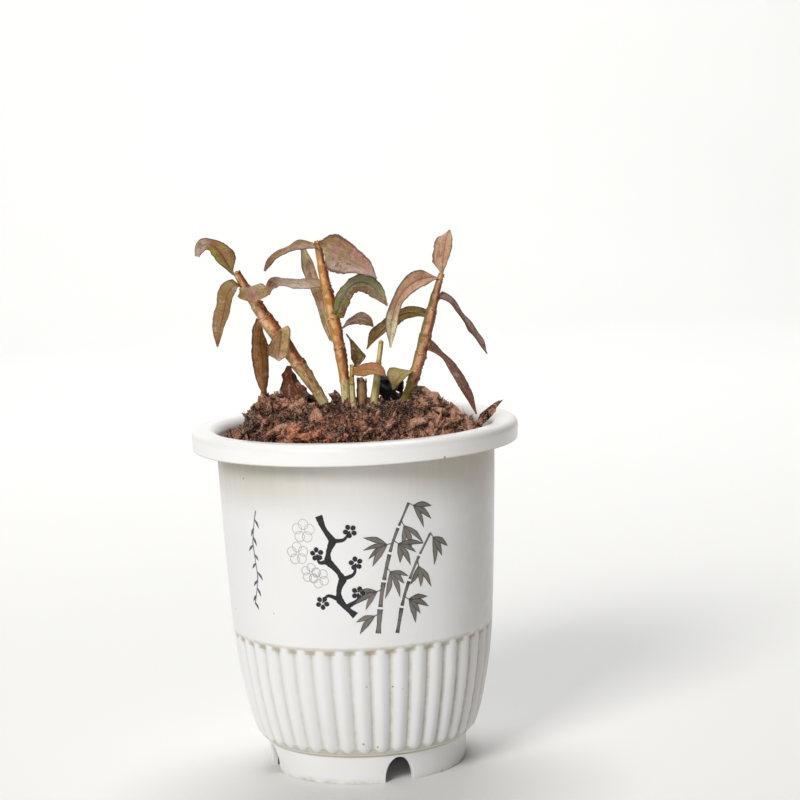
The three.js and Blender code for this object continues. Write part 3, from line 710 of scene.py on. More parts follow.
# A bamboo: two jointed culms that rise from the left, each with its number of joints and its width, and
# sprays of leaves, each at its root and heading and with its number of leaves
bamboo = Motif(5)
culms = [
    ([(6, 67.5), (8.5, 86), (13.5, 105), (21.5, 122)], 5, 2.0),
    ([(14, 67), (17.5, 82), (23.5, 96), (31, 108)], 4, 1.5),
]
for points, joints, width in culms:
    path = through(points, joints * CULM_ROWS + 1)
    for k in range(joints):
        part = path[k * CULM_ROWS:(k + 1) * CULM_ROWS]
        thin = width * (1 - 0.13 * k)
        bamboo.stroke([part[0], part[5], part[-1]], [thin * 1.15, thin * 0.9, thin, thin * 1.2])
sprays = [
    ((21, 121), -30, 3), ((17.5, 114), -62, 3), ((13.5, 105), 192, 4), ((14, 106), -38, 4),
    ((10.5, 95), -50, 4), ((8.5, 86), 200, 3), ((30.5, 107.5), -58, 3), ((24, 96.5), -80, 3),
    ((17.5, 82), -30, 4), ((7, 76), 205, 2),
]
for root, heading, count in sprays:
    knot = away_from(root, heading, TWIG_LENGTH)
    droop = 14 if knot[0] > root[0] else -14
    bamboo.stroke([root, knot], [0.5, 0.35])
    for k in range(count):
        spread = (k - (count - 1) / 2) * 27 + bamboo.draw.uniform(-6, 6)
        length = bamboo.draw.uniform(8, 12)
        bamboo.leaf(knot, heading + spread, length, bamboo.draw.uniform(2.0, 2.8), droop)
bamboo.piece("printed_bamboo", ink("washed grey ink", "7f7872", "2a2526", 1.0))

# A crooked plum bough in bold black, with a blossom at the end of each twig
bough = Motif(8)
knees = [(-3, 75.5), (-9.5, 82.5), (-7.5, 91), (-13.5, 98.5), (-11, 107), (-16.5, 117.5)]
for first, last in zip(knees, knees[1:]):
    bend = ((first[0] + last[0]) / 2 + bough.draw.uniform(-0.8, 0.8), (first[1] + last[1]) / 2)
    bough.stroke([first, bend, last], [3.2, 2.0, 2.4, 3.4])
twigs = [
    ((-9.5, 82.5), (-14, 84), (-16.5, 81)), ((-7.5, 91), (-3, 93), (-2, 97.5)),
    ((-13.5, 98.5), (-17, 98), (-18, 101.5)), ((-11, 107), (-6.5, 107.5), (-3.8, 111)),
    ((-6, 79.5), (-2, 82), (-1.5, 85)),
]
for twig in twigs:
    bough.stroke(twig, [2.0, 1.3, 0.7])
    for heading in bough.petals():
        petal = [away_from(twig[-1], heading, PETAL_LENGTH * share) for share in (0.25, 1)]
        bough.stroke(petal, [0.8, 1.9, 2.1, 0.9], 0.02)
bough.piece("printed_bough", ink("black ink", "1f1e26", "0a0a10", 1.4))

# Outlined blossoms in pale grey, beside the bough
blossoms = Motif(3)
for middle, size in [((-23.5, 111), 4.6), ((-17.5, 91.5), 3.9), ((-26.5, 101.5), 4.4), ((-21, 93.5), 3.8)]:
    for heading in blossoms.petals():
        centre = away_from(middle, heading, size * 0.62)
        outline = [away_from(centre, heading + 180 + 45 * step, size * 0.48) for step in range(9)]
        blossoms.stroke(outline, [0.24, 0.32, 0.24])
blossoms.piece("printed_blossoms", ink("pale grey ink", "c4c3c2", "a5a4a3", 1.0))

# A hanging spray of small paired leaves
spray = Motif(11)
stalk = through([(-47.5, 118), (-50.5, 104), (-48.5, 90), (-51.5, 77.5)], 46)
for k in range(3):
    spray.stroke([stalk[15 * k], stalk[15 * k + 7], stalk[15 * k + 15]], [0.55, 0.4, 0.5])
for k in range(4, 46, 4):
    side = 1 if k % 8 else -1
    heading = (-50 if side > 0 else 230) + spray.draw.uniform(-12, 12)
    spray.leaf(stalk[k], heading, spray.draw.uniform(3.4, 4.6), 1.15, 10 * side)
spray.piece("printed_spray", ink("dark blue grey ink", "5c5e6c", "262838", 1.1))


# Filling
# A bed of bark and coir packed into the pot and heaped above its rim. Chips of bark of several sizes lie on
# it and coir fibres run between them. The bed is one lumpy body; what is scattered on it is pressed inside
# the wall.
SOIL_EDGE = POT_HEIGHT - 7
SOIL_RADIUS = 57.8
SOIL_RISE = 14
SLOPE_LEFT = 23
SLOPE_RIGHT = 28
FRONT_DROP = 1.6
BACK_DROP = 4
BED_FOOT = FLOOR_TOP + 0.3
LAID_RADIUS = 57
WALL_CLEARANCE = 0.4
PART_GAP = 0.35


def heap_top(x, y):
    """The heap's height, as the stems' feet and the chips need it"""
    inward = SOIL_RADIUS - np.hypot(x, y)
    heap = softstep(inward, 0, np.where(x < 0, SLOPE_LEFT, SLOPE_RIGHT)) * SOIL_RISE
    front = FRONT_DROP * np.clip(-y / 40, 0, 1)
    back = BACK_DROP * softstep(y, -2, 14) * (1 - softstep(x, 10, 22))
    lumps = 0.9 * np.sin(0.21 * x + 0.6) * np.cos(0.17 * y - 0.4) + 0.6 * np.sin(0.37 * x - 0.31 * y)
    return SOIL_EDGE + heap + (lumps - front - back) * softstep(inward, 2, 12)


def rough(points, size, seed):
    """Smooth seeded noise from -1 to 1 at each point, with lumps of that size"""
    return np.array([noise.noise(Vector(p) / size + Vector((seed, seed, seed))) for p in points])


bed_turn = full_turn(180)
bed_rows = [ring(r, BED_FOOT, bed_turn) for r in (20, 41.8)]
for height in [14, 28, 46, 64, 80, 99, 120, 134, 138, SOIL_EDGE]:
    bed_rows.append(ring(along(INNER_WALL, height) - PART_GAP, height, bed_turn))
for reach in np.linspace(57.4, 0.9, 64):
    level_row = ring(reach, 0, bed_turn)
    level_row[:, 2] = heap_top(level_row[:, 0], level_row[:, 1])
    relief = rough(level_row, 6, 3) * 0.9 + rough(level_row, 2.4, 9) * 0.55 + rough(level_row, 1.1, 5) * 0.25
    level_row[:, 2] += relief * softstep(58 - reach, 0, 3) - 0.9
    bed_rows.append(level_row)
bed = mesh_of("bark bed", bed_rows, (0, 0, BED_FOOT))

crumbly = Finish("dark bark bed", Roughness=0.95, Specular_IOR_Level=0.2)
ground = crumbly.place()
fine = crumbly.grain(ground, 1.4, 5, 0.65)
rotting = crumbly.grain(ground, 7, 3).rise(0.5, 0.65)
earthy = crumbly.ramp(fine, (0.36, "140b09"), (0.46, "3a231b"), (0.56, "6e4636"), (0.7, "a87258"))
crumbly_stuff = crumbly.paint(crumbly.mix(rotting * 0.4, earthy, "1a100e"), None, fine, 0.9)
add_piece("bark_bed", bed, crumbly_stuff, "substrate", "substrate")


def chip_mesh(seed, length, width, thickness):
    """A split of bark: a ragged slab, splintered at both ends, with its upper layer set back"""
    draw = random.Random(seed)
    corners = 10
    outline = []
    for i in range(corners):
        turn = 2 * math.pi * (i + draw.uniform(-0.3, 0.3)) / corners
        endward = math.cos(turn) ** 2
        reach = draw.uniform(0.8, 1.05) + endward * draw.uniform(-0.4, 0.2)
        outline.append((length / 2 * reach * math.cos(turn), width / 2 * reach * math.sin(turn)))
    rows = []
    for share, spread in [(-1, 0.6), (-0.6, 0.97), (0.1, 1.0), (0.3, 0.78), (1.0, 0.5)]:
        layer = []
        slip = draw.uniform(-0.07, 0.07) * length
        for px, py in outline:
            jag = draw.uniform(0.85, 1.06)
            bow = 0.2 * thickness * math.sin(px / length * 5)
            height = share * thickness / 2 + bow + draw.uniform(-0.14, 0.14) * thickness
            layer.append((px * spread * jag + slip, py * spread * jag, height))
        rows.append(layer)
    return mesh_of("chip", rows)


def crumb_mesh(seed):
    """A small broken crumb, longer than it is wide"""
    draw = random.Random(seed)
    long, wide = draw.uniform(1.1, 2.1), draw.uniform(0.5, 0.95)
    rows = []
    for height, reach in [(-0.6, 0.5), (0.0, 1.0), (0.55, 0.6)]:
        rows.append([(long * reach * draw.uniform(0.55, 1.3) * math.cos(2 * math.pi * i / 6),
                      wide * reach * draw.uniform(0.55, 1.3) * math.sin(2 * math.pi * i / 6),
                      height + draw.uniform(-0.3, 0.3)) for i in range(6)])
    return mesh_of("crumb", rows)


def pointing(heading, rise=0.0):
    """The unit vector at a heading from the right and a rise above the level, in radians"""
    flat = math.cos(rise)
    return np.array([flat * math.cos(heading), flat * math.sin(heading), math.sin(rise)])


def strand_mesh(seed, length, radius):
    """A coir fibre: a thin three-sided strand that bends and kinks"""
    draw = random.Random(seed)
    heading, lift = 0.0, draw.uniform(0.1, 0.5)
    turn_rate, lift_rate = draw.uniform(-0.3, 0.3), draw.uniform(-0.16, 0.02)
    steps = 9
    at = np.array([-length / 2, 0.0, 0.0])
    rows = []
    for k in range(steps + 1):
        thin = radius * (1 - 0.75 * (k / steps) ** 2)
        forward = pointing(heading, lift)
        side = np.array([-math.sin(heading), math.cos(heading), 0.0])
        over = np.cross(forward, side)
        rows.append([at + thin * (math.cos(a) * side + math.sin(a) * over) for a in (0.0, 2.09, 4.19)])
        at = at + forward * length / steps
        heading += turn_rate + draw.uniform(-0.22, 0.22)
        lift += lift_rate + draw.uniform(-0.12, 0.12)
    return mesh_of("strand", rows)


def laying_tree():
    """Geometry nodes that lay copies of pieces over a surface, each turned, tipped and sized by chance"""
    tree = bpy.data.node_groups.new("laid on the heap", "GeometryNodeTree")
    sockets = [("Surface", "Geometry"), ("Pieces", "Collection"), ("Spacing", "Float"), ("Density", "Float"),
               ("Smallest", "Float"), ("Largest", "Float"), ("Tilt", "Float"), ("Lift", "Float"),
               ("Seed", "Int"), ("Material", "Material")]
    for name, kind in sockets:
        tree.interface.new_socket(name, in_out="INPUT", socket_type="NodeSocket" + kind)
    tree.interface.new_socket("Laid", in_out="OUTPUT", socket_type="NodeSocketGeometry")
    board = Board(tree)
    entry = tree.nodes.new("NodeGroupInput")
    given = {name: Wire(board, entry.outputs[name]) for name, _ in sockets}
    room = board.node("GeometryNodeInputNamedAttribute", {"data_type": "FLOAT"}, Name="room",
                      out="Attribute")
    points = board.node("GeometryNodeDistributePointsOnFaces", {"distribute_method": "POISSON"},
                        Mesh=given["Surface"], Distance_Min=given["Spacing"], Density_Max=given["Density"],
                        Density_Factor=room, Seed=given["Seed"], out="Points")
    scattered = points.socket.node
    normal = Wire(board, scattered.outputs["Normal"])
    offset = board.node("ShaderNodeVectorMath", {"operation": "SCALE"}, normal, Scale=given["Lift"])
    lifted = board.node("GeometryNodeSetPosition", None, Geometry=points, Offset=offset)

    def chance(kind, low, high, shift):
        """A random value for each piece, from a seed of its own"""
        seed = board.node("ShaderNodeMath", {"operation": "ADD"}, given["Seed"], float(shift))
        return board.node("FunctionNodeRandomValue", {"data_type": kind}, Min=low, Max=high, Seed=seed,
                          out="Value")

    tip = board.node("ShaderNodeCombineXYZ", None, given["Tilt"], given["Tilt"], math.pi)
    untip = board.node("ShaderNodeVectorMath", {"operation": "SCALE"}, tip, Scale=-1.0)
    turned = board.node("FunctionNodeEulerToRotation", None, chance("FLOAT_VECTOR", untip, tip, 1))
    rotation = board.node("FunctionNodeRotateRotation", {"rotation_space": "LOCAL"},
                          Wire(board, scattered.outputs["Rotation"]), turned)
    pieces = board.node("GeometryNodeCollectionInfo", None, given["Pieces"], True, True)
    laid = board.node("GeometryNodeInstanceOnPoints", None, Points=lifted, Instance=pieces,
                      Pick_Instance=True, Instance_Index=chance("INT", 0, 1000, 2), Rotation=rotation,
                      Scale=chance("FLOAT", given["Smallest"], given["Largest"], 3))
    toned = board.node("GeometryNodeStoreNamedAttribute", {"data_type": "FLOAT", "domain": "INSTANCE"}, laid,
                       Name="tone", Value=chance("FLOAT", 0.0, 1.0, 4))
    real = board.node("GeometryNodeRealizeInstances", None, toned)
    dressed = board.node("GeometryNodeSetMaterial", None, Geometry=real, Material=given["Material"])
    exit_ = tree.nodes.new("NodeGroupOutput")
    tree.links.new(dressed.socket, exit_.inputs["Laid"])
    return tree


laying = laying_tree()


def lay(name, kinds, material, inset, soft, **inputs):
    """Lays copies of the meshes on the bed's top and presses them into the pot. They begin at the inset from
    the bed's edge and reach their full number the soft width further in."""
    pieces = bpy.data.collections.new(name)
    for k, kind in enumerate(kinds):
        pieces.objects.link(bpy.data.objects.new(f"{name} {k:02d}", kind))
    surface = linked(name, bed.copy())
    at = points_of(surface.data)
    inward = LAID_RADIUS - np.hypot(at[:, 0], at[:, 1])
    room = (softstep(inward, inset, inset + soft) * (at[:, 2] > SOIL_EDGE - 3)).astype(np.float32)
    surface.data.attributes.new("room", "FLOAT", "POINT").data.foreach_set("value", room)
    layer = surface.modifiers.new("layer", "NODES")
    layer.node_group = laying
    for socket in laying.interface.items_tree:
        value = {**inputs, "Pieces": pieces, "Material": material}.get(socket.name)
        if value is not None:
            layer[socket.identifier] = value
    mesh = evaluated(surface)
    bpy.data.objects.remove(surface)
    for used in list(pieces.objects):
        bpy.data.objects.remove(used)
    bpy.data.collections.remove(pieces)
    at = points_of(mesh)
    reach = np.hypot(at[:, 0], at[:, 1])
    most = along(INNER_WALL, np.minimum(at[:, 2], SOIL_EDGE + 4)) - WALL_CLEARANCE
    at[:, :2] *= np.minimum(1, most / np.maximum(reach, 0.01))[:, None]
    mesh.vertices.foreach_set("co", (at * MM).astype(np.float32).ravel())
    add_piece(name, mesh, material, "substrate", smooth_below=35)


def bark(name, colours):
    """Split bark: each chip has a tone of its own, with long grain, dark pits and pale scuffs, and patches
    of painted shade and painted highlight. It is redder in front, sandy at the right, near black round the
    stems, and darkened at the left edge by a painted shadow."""
    stuff = Finish(name, Roughness=0.8, Specular_IOR_Level=0.3)
    spot = stuff.place()
    x, y, z = stuff.parts(spot)
    tone = stuff.node("ShaderNodeAttribute", {"attribute_name": "tone"}, out="Fac")
    coarse = stuff.grain(spot, 2.2, 3, 0.65)
    patch = stuff.grain(spot, 9, 2)
    # The hollow noise gives patches of painted shade and of painted highlight over the chips
    hollow = stuff.grain(spot, 4.5, 2)
    fine = stuff.grain(stuff.stretched(spot, 1, 2.2, 1.4), 0.85, 5, 0.8)
    tones = [(k / (len(colours) - 1), colour) for k, colour in enumerate(colours)]
    near_black_round_stems = (x - 0.01).size().rise(0.03, 0.012) * y.rise(-0.036, -0.02) * patch.rise(0.38, 0.5)
    shadowed = x.rise(-0.036, -0.043) * z.rise(0.145, 0.149) * patch.rise(0.36, 0.5)
    ruddy = y.rise(-0.026, -0.04) * x.rise(0.012, -0.012) * patch.rise(0.4, 0.55)
    sandy = x.band(0.016, 0.034, 0.049, 0.053) * patch.rise(0.26, 0.5)
    darkened = patch.rise(0.47, 0.4) * (sandy * -0.8 + 1.0)
    pitted = fine.rise(0.47, 0.41) * (sandy * -0.35 + 0.92)
    shade = stuff.layered(
        stuff.ramp(tone + (coarse - 0.5) * 0.5, *tones), (near_black_round_stems * 0.85, "1b1213"),
        (shadowed * 0.8, "1b1213"), (ruddy * 0.5, "d87648"), (sandy * 0.8, "eeb494"),
        (patch.rise(0.52, 0.62) * 0.25, "a87a66"), (darkened * 0.6, "1c0f0c"),
        (hollow.rise(0.51, 0.43) * 0.8, "1a0e0c"), (hollow.rise(0.55, 0.61) * 0.65, "eaac8e"),
        (pitted, "160a08"), (fine.rise(0.53, 0.59) * 0.75, "fbd0b4"),
    )
    return stuff.paint(shade, None, fine + coarse * 0.8, 0.7)


chip_stuff = bark("broken bark", ["1c0e0b", "8c5040", "dea088", "3c201a", "c87e62", "6c4236", "f2c0a4",
                                  "472821", "ee9460"])
crumb_stuff = bark("bark crumbs", ["1c0e0b", "8c5442", "cc9680", "3a201a", "eab090", "744c40"])
fibre_stuff = bark("coir fibre", ["2c1a15", "8a5238", "d09a74", "4c2f24", "e6b894"])
large_chips = [chip_mesh(seed, 14, 7, 3) for seed in range(9)]
small_chips = [chip_mesh(seed + 20, 8, 3, 1.7) for seed in range(12)]
splinters = [chip_mesh(seed + 40, 9, 1.3, 0.9) for seed in range(8)]
crumbs = [crumb_mesh(seed) for seed in range(14)]
strands = [strand_mesh(seed, 8, 0.14) for seed in range(12)]
lay("bark_chips", large_chips, chip_stuff, inset=7, soft=6, Spacing=0.0062, Density=25000.0,
    Smallest=0.5, Largest=1.0, Tilt=0.9, Lift=0.0014, Seed=4)
lay("bark_pieces", small_chips, chip_stuff, inset=0.5, soft=2, Spacing=0.0026, Density=130000.0,
    Smallest=0.4, Largest=1.05, Tilt=1.7, Lift=0.0008, Seed=9)
lay("bark_splinters", splinters, crumb_stuff, inset=0.5, soft=2, Spacing=0.0025, Density=150000.0,
    Smallest=0.3, Largest=1.0, Tilt=1.3, Lift=0.0014, Seed=15)
lay("bark_crumbs", crumbs, crumb_stuff, inset=-0.4, soft=0.4, Spacing=0.00105, Density=900000.0,
    Smallest=0.3, Largest=1.0, Tilt=3.0, Lift=0.0002, Seed=21)
lay("coir_fibres", strands, fibre_stuff, inset=3, soft=5, Spacing=0.0019, Density=250000.0,
    Smallest=0.4, Largest=1.15, Tilt=0.8, Lift=0.0016, Seed=33)


def set_down(mesh, middle, turn, tip, roll=0.0, tone=0.5):
    """Lays one piece with its middle at a place. A tip above 0 raises its right end"""
    attitude = Euler((math.radians(roll), -math.radians(tip), math.radians(turn)))
    mesh.transform(Matrix.Translation(Vector(middle) * MM) @ attitude.to_matrix().to_4x4())
    mesh.attributes.new("tone", "FLOAT", "POINT").data.foreach_set("value", [tone] * len(mesh.vertices))
    return mesh


# The larger pieces lie where they can be told apart. Each has a middle, a size, a turn, a tip and a tone.
standing = [
    ((-45, -8, 151.5), (12, 7, 3), 20, 58, 0.1), ((-42, -6, 155.5), (9, 6, 3), -30, 64, 0.15),
    ((-38.5, -6, 157.5), (11, 5, 2.4), 60, 78, 0.4), ((-49.5, -13, 146), (9, 5, 2), 30, 50, 0.5),
    ((-41, -17, 150.5), (12, 7, 3), 70, 66, 0.2), ((-47, -17, 147), (8, 6, 2.5), -20, 30, 0.45),
    ((-7.5, 8, 157.5), (10, 5, 4.5), 15, 86, 0.3), ((33, 3, 155), (20, 13, 7), 0, -42, 0.82),
    ((42, -6, 149.6), (21, 9, 4), -4, -25, 0.78), ((26.5, -30, 150.2), (14, 10, 4), 5, -8, 0.66),
    ((19.5, -23, 156.6), (7, 1.7, 1.1), 12, 22, 0.99),
    ((-26, -38, 150), (15, 9, 5), 15, 12, 1.0), ((-35, -31, 147.6), (9, 7, 3.5), -35, 25, 0.9),
    ((-18, -42, 148), (12, 7, 3.5), 20, -14, 1.0), ((-30, -42, 145.6), (9, 6, 3), -10, 8, 0.93),
    ((-30, -25, 153.6), (12, 9, 4), 25, 14, 0.46), ((-37, -23, 151.4), (9, 6, 3), -40, 30, 0.4),
    ((-15.6, -31, 153.6), (8, 7.5, 6.5), 0, 10, 0.76), ((-6, -40, 149.6), (8, 6, 3.5), 40, 15, 0.85),
    ((5, -41, 149), (9, 6, 3), -20, -10, 0.7), ((14, -36, 150.5), (10, 6, 3.5), 10, 12, 0.62),
    ((-25, -24, 154), (15, 8, 5), 0, 4, 0.35), ((-18, -24, 153.6), (12, 8, 5), 10, -14, 0.45),
    ((-24.5, -22.6, 158), (13, 4.6, 4.4), 4, 6, 0.62), ((-18.5, -22.6, 157.4), (10, 4.4, 4), -8, -22, 0.3),
    ((-21.5, -22.2, 160.8), (9, 3.4, 2.8), -6, -12, 0.8), ((-28, -22.2, 160.2), (8, 3.2, 2.6), 14, 24, 0.4),
    ((-24.8, -22.4, 161.8), (7, 2.6, 1.6), 0, 38, 0.95),
    ((-37.6, -1.5, 159.6), (9, 2.6, 1.3), 0, 82, 0.5), ((-34.8, -2.5, 158.6), (10, 2.8, 1.4), 10, -62, 0.4),
    ((-40.4, -2.5, 157.6), (8, 3, 1.4), -10, 56, 0.1), ((-36.2, -3.5, 157.6), (9, 3.4, 1.6), 5, 86, 0.6),
]
# Smaller ones are piled three deep round the left cane, and strewn at the right
piling = random.Random(17)
for layer, (count, height) in enumerate([(34, 1.2), (28, 3.2), (20, 5.2)]):
    for _ in range(count):
        east, north = piling.uniform(-45 + 3 * layer, -15), piling.uniform(-16 + 3 * layer, 8)
        size = (piling.uniform(7, 12), piling.uniform(2.5, 5.5), piling.uniform(1.4, 2.6))
        lower = 1 - 0.4 * softstep(east, -22, -13)
        middle = (east, north, float(heap_top(east, north)) + height * lower)
        turn, tip, tone = piling.uniform(0, 180), piling.uniform(-70, 70), piling.uniform(0, 1)
        standing.append((middle, size, turn, tip, tone))
for _ in range(24):
    east, north = piling.uniform(26, 50), piling.uniform(-16, 4)
    size = (piling.uniform(5, 9), piling.uniform(3, 5), piling.uniform(1.6, 3))
    middle = (east, north, float(heap_top(east, north)) + 1.5)
    turn, tip, tone = piling.uniform(0, 180), piling.uniform(-30, 30), piling.uniform(0.65, 0.9)
    standing.append((middle, size, turn, tip, tone))
settled = [set_down(chip_mesh(60 + k, *size), middle, turn, tip, tone=tone)
           for k, (middle, size, turn, tip, tone) in enumerate(standing)]

# A slender one leans on the rim at the right
settled.append(set_down(chip_mesh(59, 16, 5.2, 2), (56.5, -1, 148.4), 3, 43, roll=50, tone=0.05))
add_piece("bark_slabs", joined("bark slabs", settled), chip_stuff, "substrate", smooth_below=35)


# Charcoal
# Lumps of horticultural charcoal, broken from burnt wood, that lie loose in the bark behind the shoots and
# to their right. They are dull black with a grey bloom on their broken faces.
# Each lump: its middle, size, turn and tip
lumps = [
    ((15.5, 7, 158.5), (12, 10, 9), 20, 60), ((12, 9, 162.5), (8, 7, 6), -30, 20),
    ((19, 10, 162), (8, 6, 6), 50, 70), ((24, -5, 154), (12, 9, 5), 10, -5),
    ((31, -9, 152.8), (8, 6, 4), -30, 0), ((12, -14, 154.6), (8, 6, 4), 60, 10),
]
sooty = Finish("charcoal", Roughness=0.62, Specular_IOR_Level=0.4)
soot = sooty.grain(sooty.place(), 1.6, 4, 0.65)
sooty_tone = sooty.ramp(soot, (0.35, "0b0b0f"), (0.55, "1f2129"), (0.75, "3a3d48"))
sooty_stuff = sooty.paint(sooty_tone, None, soot, 0.5)
coals = [set_down(chip_mesh(90 + k, *size), middle, turn, tip)
         for k, (middle, size, turn, tip) in enumerate(lumps)]
add_piece("charcoal_lumps", joined("charcoal lumps", coals), sooty_stuff, "substrate", smooth_below=30)


# Stems
# Three leaning canes, two young shoots and a cut stump. A cane is a jointed stem in dry papery sheaths, one
# to each joint, that overlap upwards and are torn at the mouth. Its foot is pale where the sheath frayed.
STEM_COLUMNS = 30
STEM_ROOT = 9

# Each stem: its foot's place, the heading and the tilt of its lean, its length, its radius and its joints.
# The tilt, in degrees, and the radius are those at its foot, middle and top.
stems = {
    "cane_left": dict(
        foot=(-11, -12), towards=184, tilt=(27, 33, 26), length=70.5, radii=(1.9, 3.3, 1.3),
        nodes=(9, 24, 36, 48, 54, 62)),
    "cane_centre": dict(
        foot=(-3.4, -3), towards=180, tilt=(-2, 10, 5), length=72.5, radii=(1.9, 2.55, 1.2),
        nodes=(12, 26, 39, 51, 61)),
    "cane_right": dict(
        foot=(21.4, 3), towards=0, tilt=(27, 16, 20), length=58.5, radii=(2.1, 2.6, 1),
        nodes=(15, 23, 31, 42, 49, 55)),
    "shoot_front": dict(
        foot=(0, -9), towards=0, tilt=(-5, 0, 6), length=19, radii=(1.1, 1, 0.8), nodes=(11,)),
    "shoot_right": dict(
        foot=(8.5, -1.5), towards=0, tilt=(9, 9, 9), length=28, radii=(1.9, 1.2, 0.8), nodes=(13, 18)),
    "stump": dict(
        foot=(3.5, -4.5), towards=0, tilt=(1, 1, 1), length=12, radii=(2.2, 2.1, 2), nodes=(7,)),
}


class Stem:
    """A stem's middle line from its foot on the heap, which leans by an angle at its foot, middle and top"""

    def __init__(self, foot, towards, tilt, length, radii, nodes):
        self.tilt, self.length, self.radii, self.nodes = tilt, length, radii, nodes
        self.heading = math.radians(towards)
        at = np.array([*foot, float(heap_top(*foot))])
        self.line = [at]
        for distance in range(int(length) + 1):
            at = at + self.direction(distance + 0.5)
            self.line.append(at)

    def share(self, distance):
        return min(max(distance / self.length, 0), 1)

    def direction(self, distance):
        u = self.share(distance)
        low, middle, high = self.tilt
        lean = math.radians(low * (1 - u) * (1 - 2 * u) + 4 * middle * u * (1 - u) + high * u * (2 * u - 1))
        return np.array([math.sin(lean) * math.cos(self.heading), math.sin(lean) * math.sin(self.heading),
                         math.cos(lean)])

    def place(self, distance):
        """A point of the middle line, which runs on straight below the foot"""
        if distance <= 0:
            return self.line[0] + distance * self.direction(0)
        index = min(int(distance), len(self.line) - 2)
        return self.line[index] + (self.line[index + 1] - self.line[index]) * (distance - index)

    def radius(self, distance):
        """The taper, with each joint a little wider at its top than at its foot"""
        u = self.share(distance)
        foot, middle, top = self.radii
        smooth = foot + (middle - foot) * 2 * u if u < 0.5 else middle + (top - middle) * (2 * u - 1) ** 1.4
        marks = [0, *self.nodes, self.length]
        upper = next((k for k in range(1, len(marks)) if marks[k] > distance), len(marks) - 1)
        part = (distance - marks[upper - 1]) / (marks[upper] - marks[upper - 1])
        return smooth * (0.93 + 0.13 * min(max(part, 0), 1))

    def at(self, distance, turn, radius):
        """A point round the line; distance may differ from one turn to the next"""
        axis = self.direction(distance)
        across = np.array([1.0, 0, 0]) - axis * axis[0]
        across /= np.linalg.norm(across)
        over = np.cross(axis, across)
        return self.place(distance) + radius * (math.cos(turn) * across + math.sin(turn) * over)


stem_turns = full_turn(STEM_COLUMNS).tolist()


def lumpy(x, y, z):
    """Smooth noise from -1 to 1"""
    return noise.noise(Vector((x, y, z)))


def ridges(turn, distance, seed):
    """Fine lengthwise ridges and shallow wrinkles of a stem, in millimetres"""
    comb = 0.06 * math.sin(13 * turn + seed) + 0.04 * math.sin(21 * turn + 2 * seed)
    return comb + 0.2 * lumpy(2 * math.cos(turn) + seed, 2 * math.sin(turn), distance / 6)


def stem_marks(turn, distance, share):
    """For the material: the way the point faces, its distance up the stem, and its share of its sheath"""
    return (math.cos(turn), math.sin(turn), distance / 100), (share, 0, 0)


def marked(mesh, numbers):
    """Keeps both sets of stem marks on a mesh"""
    for name, values in zip(("stem", "sheath"), zip(*numbers)):
        mark(mesh, name, values)
    return mesh


def core_mesh(stem, seed, bare=0.15):
    """The stem itself, a little thinner than its sheaths, from under the bark to its rounded tip"""
    rows, numbers = [], []
    for distance in np.arange(-STEM_ROOT, stem.length + 0.01, 0.8):
        radius = stem.radius(distance) - bare
        tip = 1 - 0.75 * max(0, (distance - stem.length + 3) / 3) ** 2
        rows.append([stem.at(distance, turn, (radius + ridges(turn, distance, seed)) * tip)
                     for turn in stem_turns])
        numbers += [stem_marks(turn, distance, 0.5) for turn in stem_turns]
    return marked(mesh_of("core", rows, stem.place(-STEM_ROOT), stem.place(stem.length + 0.2)), numbers)


def sheath_mesh(stem, low, high, seed, torn=1.0, peel=0.3, flap=0.5):
    """A thin tube round one joint. Its foot is a little swollen, its torn mouth stands off, and its
    overlapped edge frays in a ragged line up the right side"""
    draw = random.Random(seed)
    shift = draw.uniform(0, 40)
    slit = draw.uniform(0, 2 * math.pi)
    lap = draw.uniform(-0.5, 0.3)
    edge = []
    for turn in stem_turns:
        around = Vector((1.6 * math.cos(turn) + shift, 1.6 * math.sin(turn), 0.0))
        tear = noise.noise(around) * 1.3 + noise.noise(around * 4) * 0.7
        gash = 1.7 * math.exp(-(1 - math.cos(turn - slit)) * 14)
        edge.append(high + torn * (0.5 + tear - gash))
    section = [(s, 0.05 + peel * s ** 5 + 0.16 * math.exp(-(s / 0.06) ** 2)) for s in np.linspace(0, 1, 22)]
    section += [(1.0, peel - 0.12), (0.93, peel * 0.7 - 0.2), (0.8, -0.55), (0.4, -0.6), (0.05, -0.5)]
    rows, numbers = [], []
    for share, off in section:
        row = []
        for turn, top in zip(stem_turns, edge):
            distance = low + (top - low) * share
            grip = stem.radius(min(max(distance, low + 0.2), high - 0.2))
            loose = 0.5 + 0.8 * lumpy(math.cos(turn) + shift, math.sin(turn), distance / 5)
            shred = max(0.0, lumpy(shift, seed * 2.3, distance / 0.8) + 0.1)
            frayed = flap * shred * math.exp(-(1 - math.cos(turn - lap)) * 40) * (off > 0)
            off_here = off * (loose if off > 0.1 else 1) + frayed
            row.append(stem.at(distance, turn, grip + off_here + ridges(turn, distance, seed)))
            numbers.append(stem_marks(turn, distance, share))
        rows.append(row)
    return marked(mesh_of("sheath", rows, looped=True), numbers)


